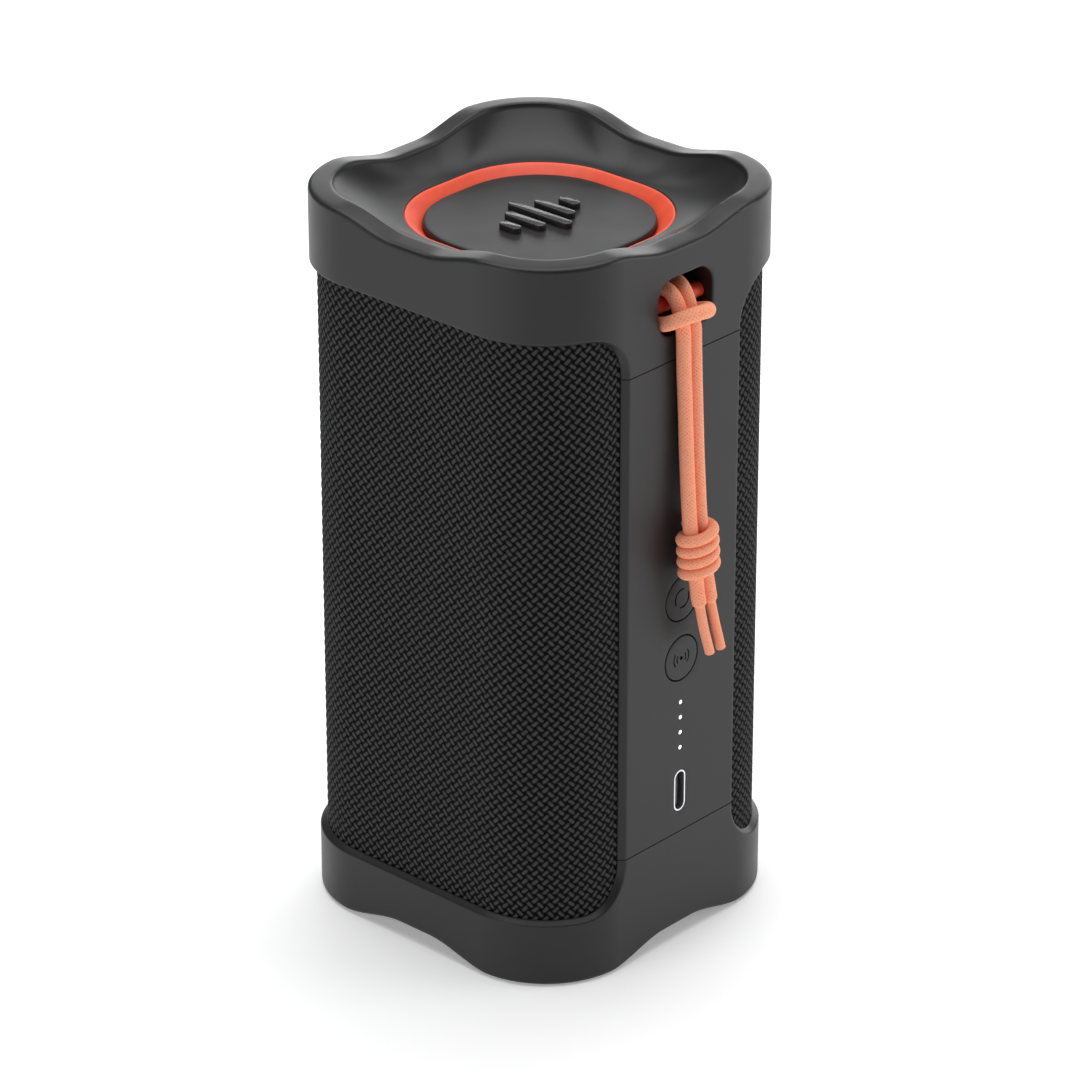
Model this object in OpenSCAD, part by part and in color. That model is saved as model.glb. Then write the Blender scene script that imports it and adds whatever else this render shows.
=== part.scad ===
// Portable bluetooth speaker: square column with rounded corners, a fabric sleeve on three sides,
// a control spine on the front (-Y), a passive radiator at each end and a cord lanyard.
// +Z is up, the origin is the centre of the footprint on the surface it stands on.

/* [Body] */
// Width and depth over the caps
body_w = 74.4; // [70:0.1:92]
// Height over the feet and the rim corners
body_h = 153; // [126:0.5:190]
// Corner radius of the caps, seen from above
corner_r = 19.7; // [16.5:0.1:23]
// How far the rim and the foot line dip at the middle of each side
wave_h = 2.8; // [0.5:0.1:4]
// Wall of the inner core
core_wall = 2.2; // [1.6:0.1:3]

/* [Fabric sleeve] */
// How far the fabric lies behind the faces of the caps
sleeve_inset = 1.45; // [1.2:0.05:2.4]
// Thickness of the fabric with its backing
sleeve_t = 0.8; // [0.4:0.05:1.2]
// How far the fabric runs on under each cap
sleeve_tuck = 2; // [1:0.5:4]
// Height of the top cap above the fabric
top_cap_h = 16.2; // [15.5:0.1:20]
// Height of the bottom cap below the fabric
bottom_cap_h = 14.3; // [14:0.1:20]
// Corner radius of the fabric opening
opening_r = 9; // [6:0.5:11]

/* [Control spine] */
// Width of the strip between the two edges of the fabric
spine_w = 33.8; // [31:0.2:35]
// Length of the top cap's tongue below the fabric's top edge
top_tongue_l = 9.5; // [9:0.1:12]
// Length of the bottom cap's tongue above the fabric's bottom edge
bottom_tongue_l = 9.8; // [9:0.1:12]

/* [Lanyard] */
// Width of the slot
slot_w = 15.3; // [14:0.1:18.6]
// Height of the slot
slot_h = 11.5; // [10.8:0.1:12.4]
// Corner radius of the slot
slot_r = 4; // [2:0.5:5]
// Depth of the slot behind the front face
slot_depth = 8.3; // [8:0.1:8.6]
// Centre of the slot below the top of the body
slot_drop = 14.9; // [14.5:0.1:16]
// Diameter of the bar across the slot
bar_d = 3; // [2:0.1:3.2]
// Diameter of the cord
cord_d = 2.9; // [2.5:0.1:3]
// Diameter of the cord's bare ends
tip_d = 1.95; // [1.5:0.05:2.4]

/* [Passive radiators] */
// Width of the rim around each end
rim_w = 4.8; // [3.5:0.1:6]
// Depth of the dish at each end
dish_depth = 7; // [6:0.1:8]
// Half width of the hole that the surround closes
ring_half = 24.2; // [20:0.1:25]
// Corner radius of that hole
ring_r = 19.6; // [14:0.1:20]
// Width of the surround's visible band
ring_w = 2.8; // [2:0.1:4]
// Height of the plate's top below the end of the body
plate_drop = 8.2; // [7.8:0.1:9]
// Travel of each plate to either side of rest
radiator_travel = 1.5; // [0.5:0.1:1.6]

/* [Drivers] */
// Outer diameter of each driver's flange
driver_d = 50; // [44:0.5:52]
// Diameter of each magnet
magnet_d = 25; // [22:0.5:27]
// Height of the drivers' axis below the top of the body
driver_drop = 49; // [48:0.5:54]
// Travel of each cone to either side of rest
cone_travel = 1; // [0.3:0.1:1.2]

/* [Buttons, lights and socket] */
// Diameter of each button
button_d = 9.2; // [7.5:0.1:11]
// Gap around each button
button_gap = 0.3; // [0.15:0.05:0.5]
// Travel of each button
button_travel = 0.45; // [0.2:0.05:0.5]
// Height of the power button
power_z = 75.7; // [75:0.1:80]
// Height of the pairing button
pairing_z = 62.7; // [60:0.1:63]
// Diameter of each light
led_d = 1.1; // [0.8:0.1:2]
// Spacing of the lights
led_pitch = 3.33; // [2.6:0.01:3.5]
// Number of lights
led_count = 4; // [1:1:4]
// Height of the highest light
led_top_z = 53; // [50:0.1:54]
// Long side of the socket's shell
usb_w = 8.94; // [8.5:0.01:10]
// Short side of the socket's shell
usb_t = 3.26; // [3:0.01:4]
// Height of the socket's centre
usb_z = 33.4; // [32.5:0.1:35]

/* [Battery] */
// Diameter of each cell
cell_d = 18.4; // [14:0.1:19]
// Length of each cell
cell_l = 65.2; // [50:0.1:66]

/* [Hidden] */
$fn = 64;

// Clearances
slip = 0.1;            // parts that slide together once, at assembly
touch = 0.05;          // parts that are glued or clamped, kept from sharing a curved face
thread_fit = 0.02;     // screw thread in its hole, on the radius
over = 1;              // how far a cutting shape runs past the face that it cuts

// Body levels
half = body_w / 2;
opening_top = body_h - top_cap_h;
opening_bottom = bottom_cap_h;
seam_top = opening_top - top_tongue_l;
seam_bottom = opening_bottom + bottom_tongue_l;
seam_gap = 0.15;

// Concentric outlines, from the outside in
sleeve_half = half - sleeve_inset;
sleeve_r = corner_r - sleeve_inset;
core_half = sleeve_half - sleeve_t - touch;
core_r = corner_r - (half - core_half);
core_in = core_half - core_wall;
core_in_r = core_r - core_wall;
rim_half = half - rim_w;
rim_r = corner_r - rim_w;

// Depths below each end of the body
lip_t = 2.6;
lip_depth = dish_depth + lip_t;
surround_t = 0.8;
frame_top = lip_depth + surround_t;
frame_t = 3;
frame_w = 3;
gasket_t = 0.6;
inner_depth = 11.4;
core_depth = inner_depth + gasket_t;
frame_half = ring_half + frame_w;
frame_r = ring_r + frame_w;
plate_half = ring_half - ring_w;
plate_r = ring_r - ring_w + 1;
plate_flange = 1.4;
plate_bottom = frame_top + 1;
frame_screw_r = 0.8;
frame_head_r = 1.3;
frame_head_t = 0.9;
frame_bite = 2;
badge_t = 1.2;
badge_bar_w = 2.2;
badge_bar_pitch = 4.2;
badge_bars = [5, 10, 16, 10, 5];

// Wave of the rim and the foot line
wave_flat = 4;
wave_end = 19.7;
wave_steps = 16;

// Cap bosses and core lugs
boss_xy = half - 12.7;
boss_r = 3;
boss_l = 2.4;
lug_r = 6.5;
lug_l = 6;
cap_screw_r = 1.25;
cap_head_r = 2.2;
cap_head_t = 1.6;

// Spine and electronics tray
spine_half = spine_w / 2;
spine_step = 1.1;
spine_back = core_half + slip;
tray_half = 14.5;
tray_bottom = seam_bottom + 2.8;
tray_top = seam_top - 2.8;
tray_depth = 8.2;
tray_wall = 1.6;
tray_floor = core_half - tray_depth;
rib_t = 1;
rib_l = 1.4;
board_t = 1.6;
board_post_h = 2.4;
board_back = tray_floor + board_post_h;
board_front = board_back + board_t;
board_half = 13;
board_bottom = tray_bottom + 1.5;
board_top = tray_top - 1.5;
board_screw_r = 1;
board_post_x = board_half - 2.6;
board_post_z = [board_bottom + 3, board_top - 3];

// Buttons
button_hole_r = button_d / 2 + button_gap;
button_flange_r = button_hole_r + 0.7;
button_flange_t = 0.6;
switch_top = board_front + 2.1;
switch_side = 5.2;
plunger_r = 0.8;
plunger_l = 0.9;
stem_r = 1.8;
stem_end = switch_top + button_travel + 0.1;
button_icon_depth = 0.25;

// Chips above the power switch, laid out for a room of this height and spread or squeezed to the real one
layout_room = 44.7;
chip_floor = power_z + switch_side / 2;
chip_room = board_top - chip_floor;
can_rise = 28.7;

// Light guide and socket
guide_bar_t = 1.1;
diode_t = 0.6;
usb_wall = 0.3;
usb_seal_w = 0.8;

// Slot and bar
slot_z = body_h - slot_drop;
slot_wall = 1.5;
bar_y = half - 3.7;
bar_z = slot_z - 0.75;
bar_seat = 1;

// Drivers, measured along their own axis from the flange's front face
driver_z = body_h - driver_drop;
pad_x = core_in - 2.1;
pad_r = driver_d / 2 + 1.5;
pad_hole_r = driver_d / 2 - 4;
flange_t = 1.5;
flange_hole_r = driver_d / 2 - 6;
driver_gasket_t = 0.4;
driver_screw_r = 1;
driver_screw_ring = driver_d / 2 - 1.8;
cone_r = pad_hole_r - 3.9;
coil_r = 7.5;
coil_in_r = 7;
pole_r = 6.6;
gap_r = 7.9;
front_plate_z = -11.2;
magnet_back_z = -19.2;
spider_z = -8.8;

// Battery
cell_gap = 0.6;
cell_y = (cell_d + cell_gap) / 2;
cradle_t = 2;
cradle_slip = 0.15;
cell_bottom = 20;
cell_top = cell_bottom + cell_l;
cradle_bottom = cell_bottom - cradle_slip - cradle_t;
cradle_top = cell_top + cradle_slip + cradle_t;
cradle_back = cell_y + cell_d / 2 + cradle_slip;
cradle_boss_x = cell_d / 2 + 4.8;
cradle_boss_z = [cell_bottom + 8, cell_top - 12];
cradle_boss_r = 3.2;
cradle_screw_r = 1.25;
lead_r = 0.8;
lead_z = cradle_top + 9;
grommet_r = 3.4;

// Lanyard: centre line of the loop, from the left strand's lower end round the bar to the right one
loop_points = [
    [-2, -40.8, 92], [-2, -40.4, 95.5], [-1.9, -39.9, 101], [-1.8, -39.4, 107], [-1.8, -39.1, 113],
    [-1.9, -38.9, 119], [-2.2, -38.8, 125], [-2.4, -38.8, 130], [-2.5, -38.7, 133.5], [-2.5, -37.8, 137],
    [-2.5, -36.9, 138.9], [-2.6, -35.4, 140.4], [-2.9, -33.6, 140.8], [-3.5, -31.8, 140.1],
    [-4.1, -30.7, 138.4], [-4.7, -30.6, 136.3], [-5, -31.6, 134.8], [-5.1, -33.5, 134.3],
    [-5.3, -35.6, 134.7], [-5.5, -37.6, 135.5], [-5.2, -39.4, 136.5], [-4, -40.7, 137.2],
    [-2.2, -41.3, 137.4], [-0.4, -41.4, 137.3], [1.4, -41.1, 136.9], [3, -40.2, 136.4], [4.1, -38.8, 135.8],
    [4.5, -37, 135.1], [4.5, -35.2, 134.5], [4.3, -33.5, 134.3], [4.1, -31.6, 134.8], [3.8, -30.6, 136.4],
    [3.2, -30.7, 138.5], [2.3, -31.9, 140.2], [1.5, -33.7, 140.8], [0.9, -35.5, 140.3],
    [0.6, -36.9, 138.8], [0.5, -37.8, 136.9], [0.6, -38.7, 133.5], [0.7, -38.8, 130], [0.9, -38.8, 125],
    [1.1, -38.9, 119], [1.2, -39.1, 113], [1.2, -39.4, 107], [1.1, -39.9, 101], [1, -40.4, 95.5],
    [1, -40.8, 92]];
left_tail = [[-1.3, -41.8, 81.8], [-1, -42, 78.5], [-0.5, -42.2, 75.4]];
left_tip = [[-0.5, -42.2, 75.4], [0.4, -42.4, 71], [2.1, -42.8, 64.4]];
right_tail = [[1.7, -41.8, 81.8], [2.2, -42, 78.5], [2.7, -42.2, 75.4]];
right_tip = [[2.7, -42.2, 75.4], [3.7, -42.4, 71], [5.4, -42.8, 64.2]];
knot_top = [-0.5, -40.9, 92.4];
knot_bottom = [0.1, -41.6, 81.4];
knot_wrap_t = 2.1;
knot_strand_gap = 1.5;
cord_sides = 8;

// ---- Outline helpers ----

// Square with rounded corners, given by half its width.
module rounded_square(h, r) {
    square([2 * h, 2 * (h - r)], center = true);
    square([2 * (h - r), 2 * h], center = true);
    for (x = [-1, 1], y = [-1, 1]) translate([x * (h - r), y * (h - r)]) circle(r);
}

// Upright prism on a rounded square, from z0 to z1.
module column(h, r, z0, z1) {
    translate([0, 0, z0]) linear_extrude(z1 - z0) rounded_square(h, r);
}

// Prism between two rounded squares.
module ring(h_out, r_out, h_in, r_in, z0, z1) {
    difference() {
        column(h_out, r_out, z0, z1);
        column(h_in, r_in, z0 - over, z1 + over);
    }
}

// Box by its two corners.
module block(low, high) {
    translate(low) cube(high - low);
}

// Cylinder along Y from y0 to y1, with its centre at x, z.
module rod_y(r, x, z, y0, y1) {
    translate([x, y1, z]) rotate([90, 0, 0]) cylinder(r = r, h = y1 - y0);
}

// Long round-ended outline, upright: w high and t wide.
module stadium(w, t) {
    square([t, w - t], center = true);
    for (s = [-1, 1]) translate([0, s * (w - t) / 2]) circle(t / 2);
}

// Outline in the XZ plane pushed along Y from y0 to y1.
module plate_xz(y0, y1) {
    translate([0, y1, 0]) rotate([90, 0, 0]) linear_extrude(y1 - y0) children();
}

// The four corner places at a given distance from both middle planes.
module at_corners(c) {
    for (x = [-c, c], y = [-c, c]) translate([x, y, 0]) children();
}

// Places a shape made for the top end, with its end plane at z = 0, on the bottom end.
module at_bottom_end() {
    mirror([0, 0, 1]) children();
}

// Places a shape made for the top end, with its end plane at z = 0, on the top end.
module at_top_end() {
    translate([0, 0, body_h]) children();
}

// ---- Caps ----

// Depth of the rim below the end plane, t away from the middle of a side.
function wave_share(t) = min(1, max(0, (t - wave_flat) / (wave_end - wave_flat)));
function wave_depth(t) = wave_h * (1 - wave_share(t) * wave_share(t) * (3 - 2 * wave_share(t)));
function wave_x(i) = wave_flat + (wave_end - wave_flat) * i / wave_steps;

// Side view of the space under the wave, down to a given depth.
module wave_outline(depth) {
    edge = half + over;
    polygon(concat(
        [[-edge, -depth], [edge, -depth], [edge, 0]],
        [for (i = [wave_steps:-1:0]) [wave_x(i), -wave_depth(wave_x(i))]],
        [for (i = [0:wave_steps]) [-wave_x(i), -wave_depth(wave_x(i))]],
        [[-edge, 0]]));
}

// Outer body of a cap down to a given depth, with the wave cut both ways.
module cap_blank(depth) {
    intersection() {
        column(half, corner_r, -depth, 0);
        plate_xz(-half - over, half + over) wave_outline(depth + over);
        rotate([0, 0, 90]) plate_xz(-half - over, half + over) wave_outline(depth + over);
    }
}

// The dish in the end of a cap: a straight-sided mouth, then a slope to the surround's hole.
module dish_cut() {
    mouth_depth = wave_h + 0.5;
    column(rim_half, rim_r, -mouth_depth, over);
    hull() {
        column(rim_half, rim_r, -mouth_depth - 0.01, -mouth_depth);
        column(ring_half, ring_r, -dish_depth, -dish_depth + 0.01);
    }
}

// Everything hollowed out of a cap: dish, surround hole, frame pocket, core and sleeve spaces.
module cap_hollow(depth) {
    dish_cut();
    column(ring_half, ring_r, -lip_depth - over, -dish_depth + 0.01);
    column(frame_half + slip, frame_r + slip, -depth - over, -lip_depth);
    column(core_half + slip, core_r + slip, -depth - over, -inner_depth);
    sleeve_top = top_cap_h - sleeve_tuck - touch;
    difference() {
        column(sleeve_half + touch, sleeve_r + touch, -depth - over, -sleeve_top);
        block([-spine_half + spine_step, -half, -depth - 2 * over],
            [spine_half - spine_step, -core_half, 0]);
    }
}

// The opening for the fabric, cut through the caps' skirts on every side except the spine's.
module fabric_opening() {
    edge = half + over;
    opening_h = opening_top - opening_bottom;
    middle = (opening_top + opening_bottom) / 2;
    side_w = edge - spine_half;
    block([-edge, 0, opening_bottom], [edge, edge, opening_top]);
    for (s = [-1, 1]) plate_xz(-edge, touch) translate([s * (spine_half + side_w / 2), middle]) {
        square([side_w, opening_h - 2 * opening_r], center = true);
        translate([s * opening_r / 2, 0]) square([side_w - opening_r, opening_h], center = true);
        for (v = [-1, 1])
            translate([s * (opening_r - side_w / 2), v * (opening_h / 2 - opening_r)]) circle(opening_r);
    }
}

// Screw boss inside a cap, at one corner.
module cap_boss() {
    translate([0, 0, -inner_depth - boss_l]) cylinder(r = boss_r, h = boss_l + 0.5);
}

// Threaded hole up through a boss and into the cap.
module cap_boss_hole() {
    translate([0, 0, -inner_depth - boss_l - over]) cylinder(r = cap_screw_r + thread_fit, h = boss_l + over + 2);
}

// Slot outline, pushed into the body from the front face.
module slot_shape(grow, y0, y1) {
    plate_xz(y0, y1) translate([0, slot_z]) {
        square([slot_w + 2 * grow, slot_h - 2 * slot_r], center = true);
        square([slot_w - 2 * slot_r, slot_h + 2 * grow], center = true);
        for (x = [-1, 1], z = [-1, 1])
            translate([x * (slot_w / 2 - slot_r), z * (slot_h / 2 - slot_r)]) circle(slot_r + grow);
    }
}

// Top cap: rim, dish, skirt, tongue and the closed pocket of the lanyard slot.
module top_cap() {
    color("#4a4a4b") difference() {
        union() {
            difference() {
                at_top_end() cap_blank(body_h - seam_top - seam_gap / 2);
                at_top_end() cap_hollow(body_h - seam_top);
                fabric_opening();
            }
            slot_shape(slot_wall, -core_half - slip, -half + slot_depth + slot_wall);
            at_top_end() at_corners(boss_xy) cap_boss();
        }
        slot_shape(0, -half - over, -half + slot_depth);
        at_top_end() column(frame_half + slip, frame_r + slip, -body_h / 4, -lip_depth);
        at_top_end() at_corners(boss_xy) cap_boss_hole();
        bar_hole(bar_d / 2 + thread_fit, bar_seat + touch);
        at_top_end() radiator_screw_places() cylinder(r = frame_screw_r + thread_fit, h = 2 * frame_bite, center = true);
    }
}

// Bottom cap: the same cap upside down, with counterbored holes for its screws.
module bottom_cap() {
    color("#4a4a4b") difference() {
        union() {
            difference() {
                at_bottom_end() cap_blank(seam_bottom - seam_gap / 2);
                at_bottom_end() cap_hollow_bottom();
                fabric_opening();
            }
            at_bottom_end() at_corners(boss_xy) cap_boss();
        }
        at_bottom_end() at_corners(boss_xy) {
            translate([0, 0, -inner_depth - boss_l - over])
                cylinder(r = cap_screw_r + slip, h = body_h / 4);
            translate([0, 0, -lip_depth]) cylinder(r = cap_head_r + slip, h = body_h / 4);
        }
        at_bottom_end() radiator_screw_places() cylinder(r = frame_screw_r + thread_fit, h = 2 * frame_bite, center = true);
    }
}

// The bottom cap's hollow, which differs in the height of the fabric's edge.
module cap_hollow_bottom() {
    dish_cut();
    depth = seam_bottom;
    column(ring_half, ring_r, -lip_depth - over, -dish_depth + 0.01);
    column(frame_half + slip, frame_r + slip, -depth - over, -lip_depth);
    column(core_half + slip, core_r + slip, -depth - over, -inner_depth);
    difference() {
        column(sleeve_half + touch, sleeve_r + touch, -depth - over, -bottom_cap_h + sleeve_tuck + touch);
        block([-spine_half + spine_step, -half, -depth - 2 * over],
            [spine_half - spine_step, -core_half, 0]);
    }
}

module top_cap_gasket() {
    color("#1d1d1f") difference() {
        ring(core_half - 0.2, core_r - 0.2, core_in + 0.2, core_in_r + 0.2,
            body_h - core_depth, body_h - inner_depth);
        block([-slot_w / 2 - slot_wall - 0.3, -half, 0], [slot_w / 2 + slot_wall + 0.3, -core_in / 2, body_h]);
    }
}

module bottom_cap_gasket() {
    color("#1d1d1f")
        ring(core_half - 0.2, core_r - 0.2, core_in + 0.2, core_in_r + 0.2, inner_depth, core_depth);
}

// Screw along Z with its thread's tip at z = 0 and its head below.
module screw_up(r, head_r, head_t, length) {
    translate([0, 0, -length]) cylinder(r = r, h = length);
    translate([0, 0, -length - head_t]) difference() {
        cylinder(r = head_r, h = head_t);
        translate([0, 0, -over]) cylinder(r = r * 0.6, h = over + head_t / 2, $fn = 6);
    }
}

module top_cap_screws() {
    lug_bottom = body_h - inner_depth - boss_l - slip - lug_l;
    tip = body_h - inner_depth + 1.6;
    color("#b9bcc0") at_corners(boss_xy) translate([0, 0, tip])
        screw_up(cap_screw_r, cap_head_r, cap_head_t, tip - lug_bottom);
}

module bottom_cap_screws() {
    tip = inner_depth + boss_l + lug_l;
    color("#b9bcc0") at_corners(boss_xy) translate([0, 0, tip])
        screw_up(cap_screw_r, cap_head_r, cap_head_t, tip - lip_depth);
}

// Soft plugs that fill the counterbores under the bottom cap.
module screw_plugs() {
    plug_low = dish_depth - 1.6;
    color("#3c3c3d") at_corners(boss_xy)
        translate([0, 0, plug_low]) cylinder(r = cap_head_r, h = lip_depth - cap_head_t - touch - plug_low);
}

// ---- Radiators ----

// The four places of a frame's screws, at the depth where the lip starts.
module radiator_screw_places() {
    for (a = [0:90:270]) rotate([0, 0, a]) translate([ring_half + frame_w / 2, 0, -lip_depth]) children();
}

module radiator_frame() {
    difference() {
        ring(frame_half, frame_r, ring_half, ring_r, -frame_top - frame_t, -frame_top);
        radiator_screw_places() cylinder(r = frame_screw_r + slip, h = body_h / 4, center = true);
    }
}

// Soft surround: a clamped flange that reaches in to the plate, and a raised edge in the lip's hole.
module radiator_surround() {
    difference() {
        ring(frame_half, frame_r, plate_half + touch, plate_r + touch, -frame_top, -lip_depth);
        radiator_screw_places() cylinder(r = frame_screw_r + slip, h = body_h / 4, center = true);
    }
    ring(ring_half - touch, ring_r - touch, ring_half - 1, ring_r - 1, -lip_depth, -dish_depth - 0.1);
}

module radiator_plate() {
    column(plate_half, plate_r, -plate_bottom, -plate_drop);
    column(plate_half + plate_flange, plate_r + plate_flange, -plate_bottom, -frame_top - touch);
}

module top_radiator_frame() { color("#2c2c2e") at_top_end() radiator_frame(); }
module top_radiator_surround() { color("#fb6a52") at_top_end() radiator_surround(); }
module top_radiator_plate() { color("#555556") at_top_end() radiator_plate(); }
module bottom_radiator_frame() { color("#2c2c2e") at_bottom_end() radiator_frame(); }
module bottom_radiator_surround() { color("#fb6a52") at_bottom_end() radiator_surround(); }
module bottom_radiator_plate() { color("#555556") at_bottom_end() radiator_plate(); }

// Raised sound-wave bars: upright round-ended strips of different lengths.
module top_radiator_badge() {
    color("#5b5b5c") at_top_end() translate([0, 0, -plate_drop]) linear_extrude(badge_t)
        for (i = [0:len(badge_bars) - 1])
            translate([(i - (len(badge_bars) - 1) / 2) * badge_bar_pitch, 0]) stadium(badge_bars[i], badge_bar_w);
}

module radiator_screws() {
    length = surround_t + frame_t + frame_bite - 0.2;
    color("#b9bcc0") {
        at_top_end() radiator_screw_places() translate([0, 0, frame_bite - 0.2])
            screw_up(frame_screw_r, frame_head_r, frame_head_t, length);
        at_bottom_end() radiator_screw_places() translate([0, 0, frame_bite - 0.2])
            screw_up(frame_screw_r, frame_head_r, frame_head_t, length);
    }
}

// ---- Spine, sleeve and core ----

module spine_panel() {
    color("#4a4a4b") difference() {
        union() {
            block([-spine_half, -half, seam_bottom + seam_gap / 2], [spine_half, -spine_back, seam_top - seam_gap / 2]);
            difference() {
                block([-tray_half + slip, -spine_back, tray_bottom + slip],
                    [tray_half - slip, -spine_back + rib_l, tray_top - slip]);
                block([-tray_half + slip + rib_t, -half, tray_bottom + slip + rib_t],
                    [tray_half - slip - rib_t, 0, tray_top - slip - rib_t]);
            }
        }
        for (s = [-1, 1]) mirror([s < 0 ? 1 : 0, 0, 0])
            block([spine_half - spine_step, -sleeve_half - touch, 0], [spine_half + over, 0, body_h]);
        for (z = [power_z, pairing_z]) rod_y(button_hole_r, 0, z, -half - over, 0);
        for (i = [0:led_count - 1]) rod_y(led_d / 2 + touch, 0, led_top_z - i * led_pitch, -half - over, 0);
        plate_xz(-half - over, 0) translate([0, usb_z]) stadium(usb_w + 2 * touch, usb_t + 2 * touch);
    }
}

module fabric_sleeve() {
    color("#262627") difference() {
        ring(sleeve_half, sleeve_r, core_half + touch, core_r + touch,
            opening_bottom - sleeve_tuck, opening_top + sleeve_tuck);
        block([-spine_half + spine_step - touch - slip, -half, 0],
            [spine_half - spine_step + touch + slip, 0, body_h]);
    }
}

// Core lug at one corner, pointing up from z = 0.
module core_lug() {
    cylinder(r = lug_r, h = lug_l);
}

// Inner enclosure: tube with the electronics tray, driver pads, corner lugs and battery bosses.
module core_housing() {
    top_lug = body_h - inner_depth - boss_l - slip - lug_l;
    bottom_lug = inner_depth + boss_l + slip;
    core_top = body_h - core_depth;
    tray_back = -tray_floor + tray_wall;
    color("#353538") difference() {
        union() {
            ring(core_half, core_r, core_in, core_in_r, core_depth, core_top);
            intersection() {
                column(core_half, core_r, core_depth, core_top);
                union() {
                    translate([0, 0, top_lug]) at_corners(boss_xy) core_lug();
                    translate([0, 0, bottom_lug]) at_corners(boss_xy) core_lug();
                    for (s = [-1, 1]) rotate([0, s * 90, 0]) translate([-s * driver_z, 0, pad_x])
                        cylinder(r = pad_r, h = half);
                    block([-tray_half - tray_wall, -half, tray_bottom - tray_wall],
                        [tray_half + tray_wall, tray_back, tray_top + tray_wall]);
                }
            }
            for (x = [-1, 1], z = cradle_boss_z)
                rod_y(cradle_boss_r, x * cradle_boss_x, z, cradle_back + cradle_t + touch, core_in + 0.5);
        }
        difference() {
            block([-tray_half, -half, tray_bottom], [tray_half, -tray_floor, tray_top]);
            for (x = [-board_post_x, board_post_x], z = board_post_z)
                rod_y(2.2, x, z, -board_back, -tray_floor + over);
        }
        for (x = [-board_post_x, board_post_x], z = board_post_z)
            rod_y(board_screw_r + thread_fit, x, z, -board_back - over, -tray_floor + 0.6);
        for (s = [-1, 1]) rotate([0, s * 90, 0]) translate([-s * driver_z, 0, 0]) {
            cylinder(r = pad_hole_r, h = half + over);
            driver_screw_places() translate([0, 0, pad_x - over])
                cylinder(r = driver_screw_r + thread_fit, h = 3.4 + over);
        }
        translate([0, 0, top_lug - over]) at_corners(boss_xy) cylinder(r = cap_screw_r + slip, h = lug_l + 2 * over);
        translate([0, 0, bottom_lug - over]) at_corners(boss_xy)
            cylinder(r = cap_screw_r + thread_fit, h = lug_l + 2 * over);
        slot_notch();
        for (x = [-1, 1], z = cradle_boss_z)
            rod_y(cradle_screw_r + thread_fit, x * cradle_boss_x, z, 0, core_in);
        rod_y(grommet_r - 0.8, 0, lead_z, -tray_floor - over, tray_back + over);
    }
}

// Clears the pocket of the lanyard slot out of the core's front wall.
module slot_notch() {
    side = slot_w / 2 + slot_wall + slip;
    low = slot_z - slot_h / 2 - slot_wall - slip;
    block([-side, -half, low], [side, -half + slot_depth + slot_wall + slip, body_h]);
}

module bar_hole(r, seat) {
    length = slot_w + 2 * seat;
    translate([-length / 2, -bar_y, bar_z]) rotate([0, 90, 0]) cylinder(r = r, h = length);
}

module lanyard_bar() {
    color("#ef6a52") bar_hole(bar_d / 2, bar_seat);
}

// ---- Lanyard ----

function unit(v) = v / norm(v);
function path_dir(p, i) = unit(p[min(i + 1, len(p) - 1)] - p[max(i - 1, 0)]);

// Side vector of each ring, carried along the path so that the tube doesn't twist.
function ring_sides(p, i, last) = i >= len(p) ? [] :
    let (t = path_dir(p, i), s = unit(last - (last * t) * t)) concat([s], ring_sides(p, i + 1, s));

// Round tube of radius r swept along the points p.
module swept_tube(p, r, start_side) {
    sides = ring_sides(p, 0, start_side);
    n = cord_sides;
    rings = [for (i = [0:len(p) - 1], k = [0:n - 1])
        p[i] + r * (cos(360 * k / n) * sides[i] + sin(360 * k / n) * cross(path_dir(p, i), sides[i]))];
    walls = [for (i = [0:len(p) - 2], k = [0:n - 1])
        [i * n + k, (i + 1) * n + k, (i + 1) * n + (k + 1) % n, i * n + (k + 1) % n]];
    first = [for (k = [0:n - 1]) k];
    last = [for (k = [n - 1:-1:0]) (len(p) - 1) * n + k];
    polyhedron(points = rings, faces = concat([first], walls, [last]), convexity = 10);
}

module lanyard_loop() {
    color("#fe7e60") swept_tube(loop_points, cord_d / 2, [1, 0, 0]);
}

module lanyard_tails() {
    color("#fe7e60") {
        swept_tube(left_tail, cord_d / 2, [1, 0, 0]);
        swept_tube(left_tip, tip_d / 2, [1, 0, 0]);
        swept_tube(right_tail, cord_d / 2, [1, 0, 0]);
        swept_tube(right_tip, tip_d / 2, [1, 0, 0]);
    }
}

// Outer shape of the wrapped knot: a round-ended block on the line between its two ends.
module lanyard_knot() {
    rise = knot_top - knot_bottom;
    length = norm(rise);
    wrap_r = cord_d / 2 + knot_wrap_t;
    color("#fe7e60") translate(knot_bottom)
        rotate([-asin(rise[1] / length), atan2(rise[0], rise[2]), 0])
            linear_extrude(length) rotate([0, 0, 90]) stadium(2 * (wrap_r + knot_strand_gap), 2 * wrap_r);
}

// ---- Drivers ----

// Places a shape made along +Z on the left or right driver's axis.
module at_driver(side) {
    translate([side * pad_x, 0, driver_z]) rotate([0, side * 90, 0]) children();
}

module driver_screw_places() {
    for (a = [45:90:315]) rotate([0, 0, a]) translate([driver_screw_ring, 0, 0]) children();
}

module driver_gasket() {
    translate([0, 0, -driver_gasket_t]) difference() {
        cylinder(r = driver_d / 2, h = driver_gasket_t);
        translate([0, 0, -over]) cylinder(r = pad_hole_r, h = driver_gasket_t + 2 * over);
        driver_screw_places() cylinder(r = driver_screw_r + slip, h = 4 * over, center = true);
    }
}

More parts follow.
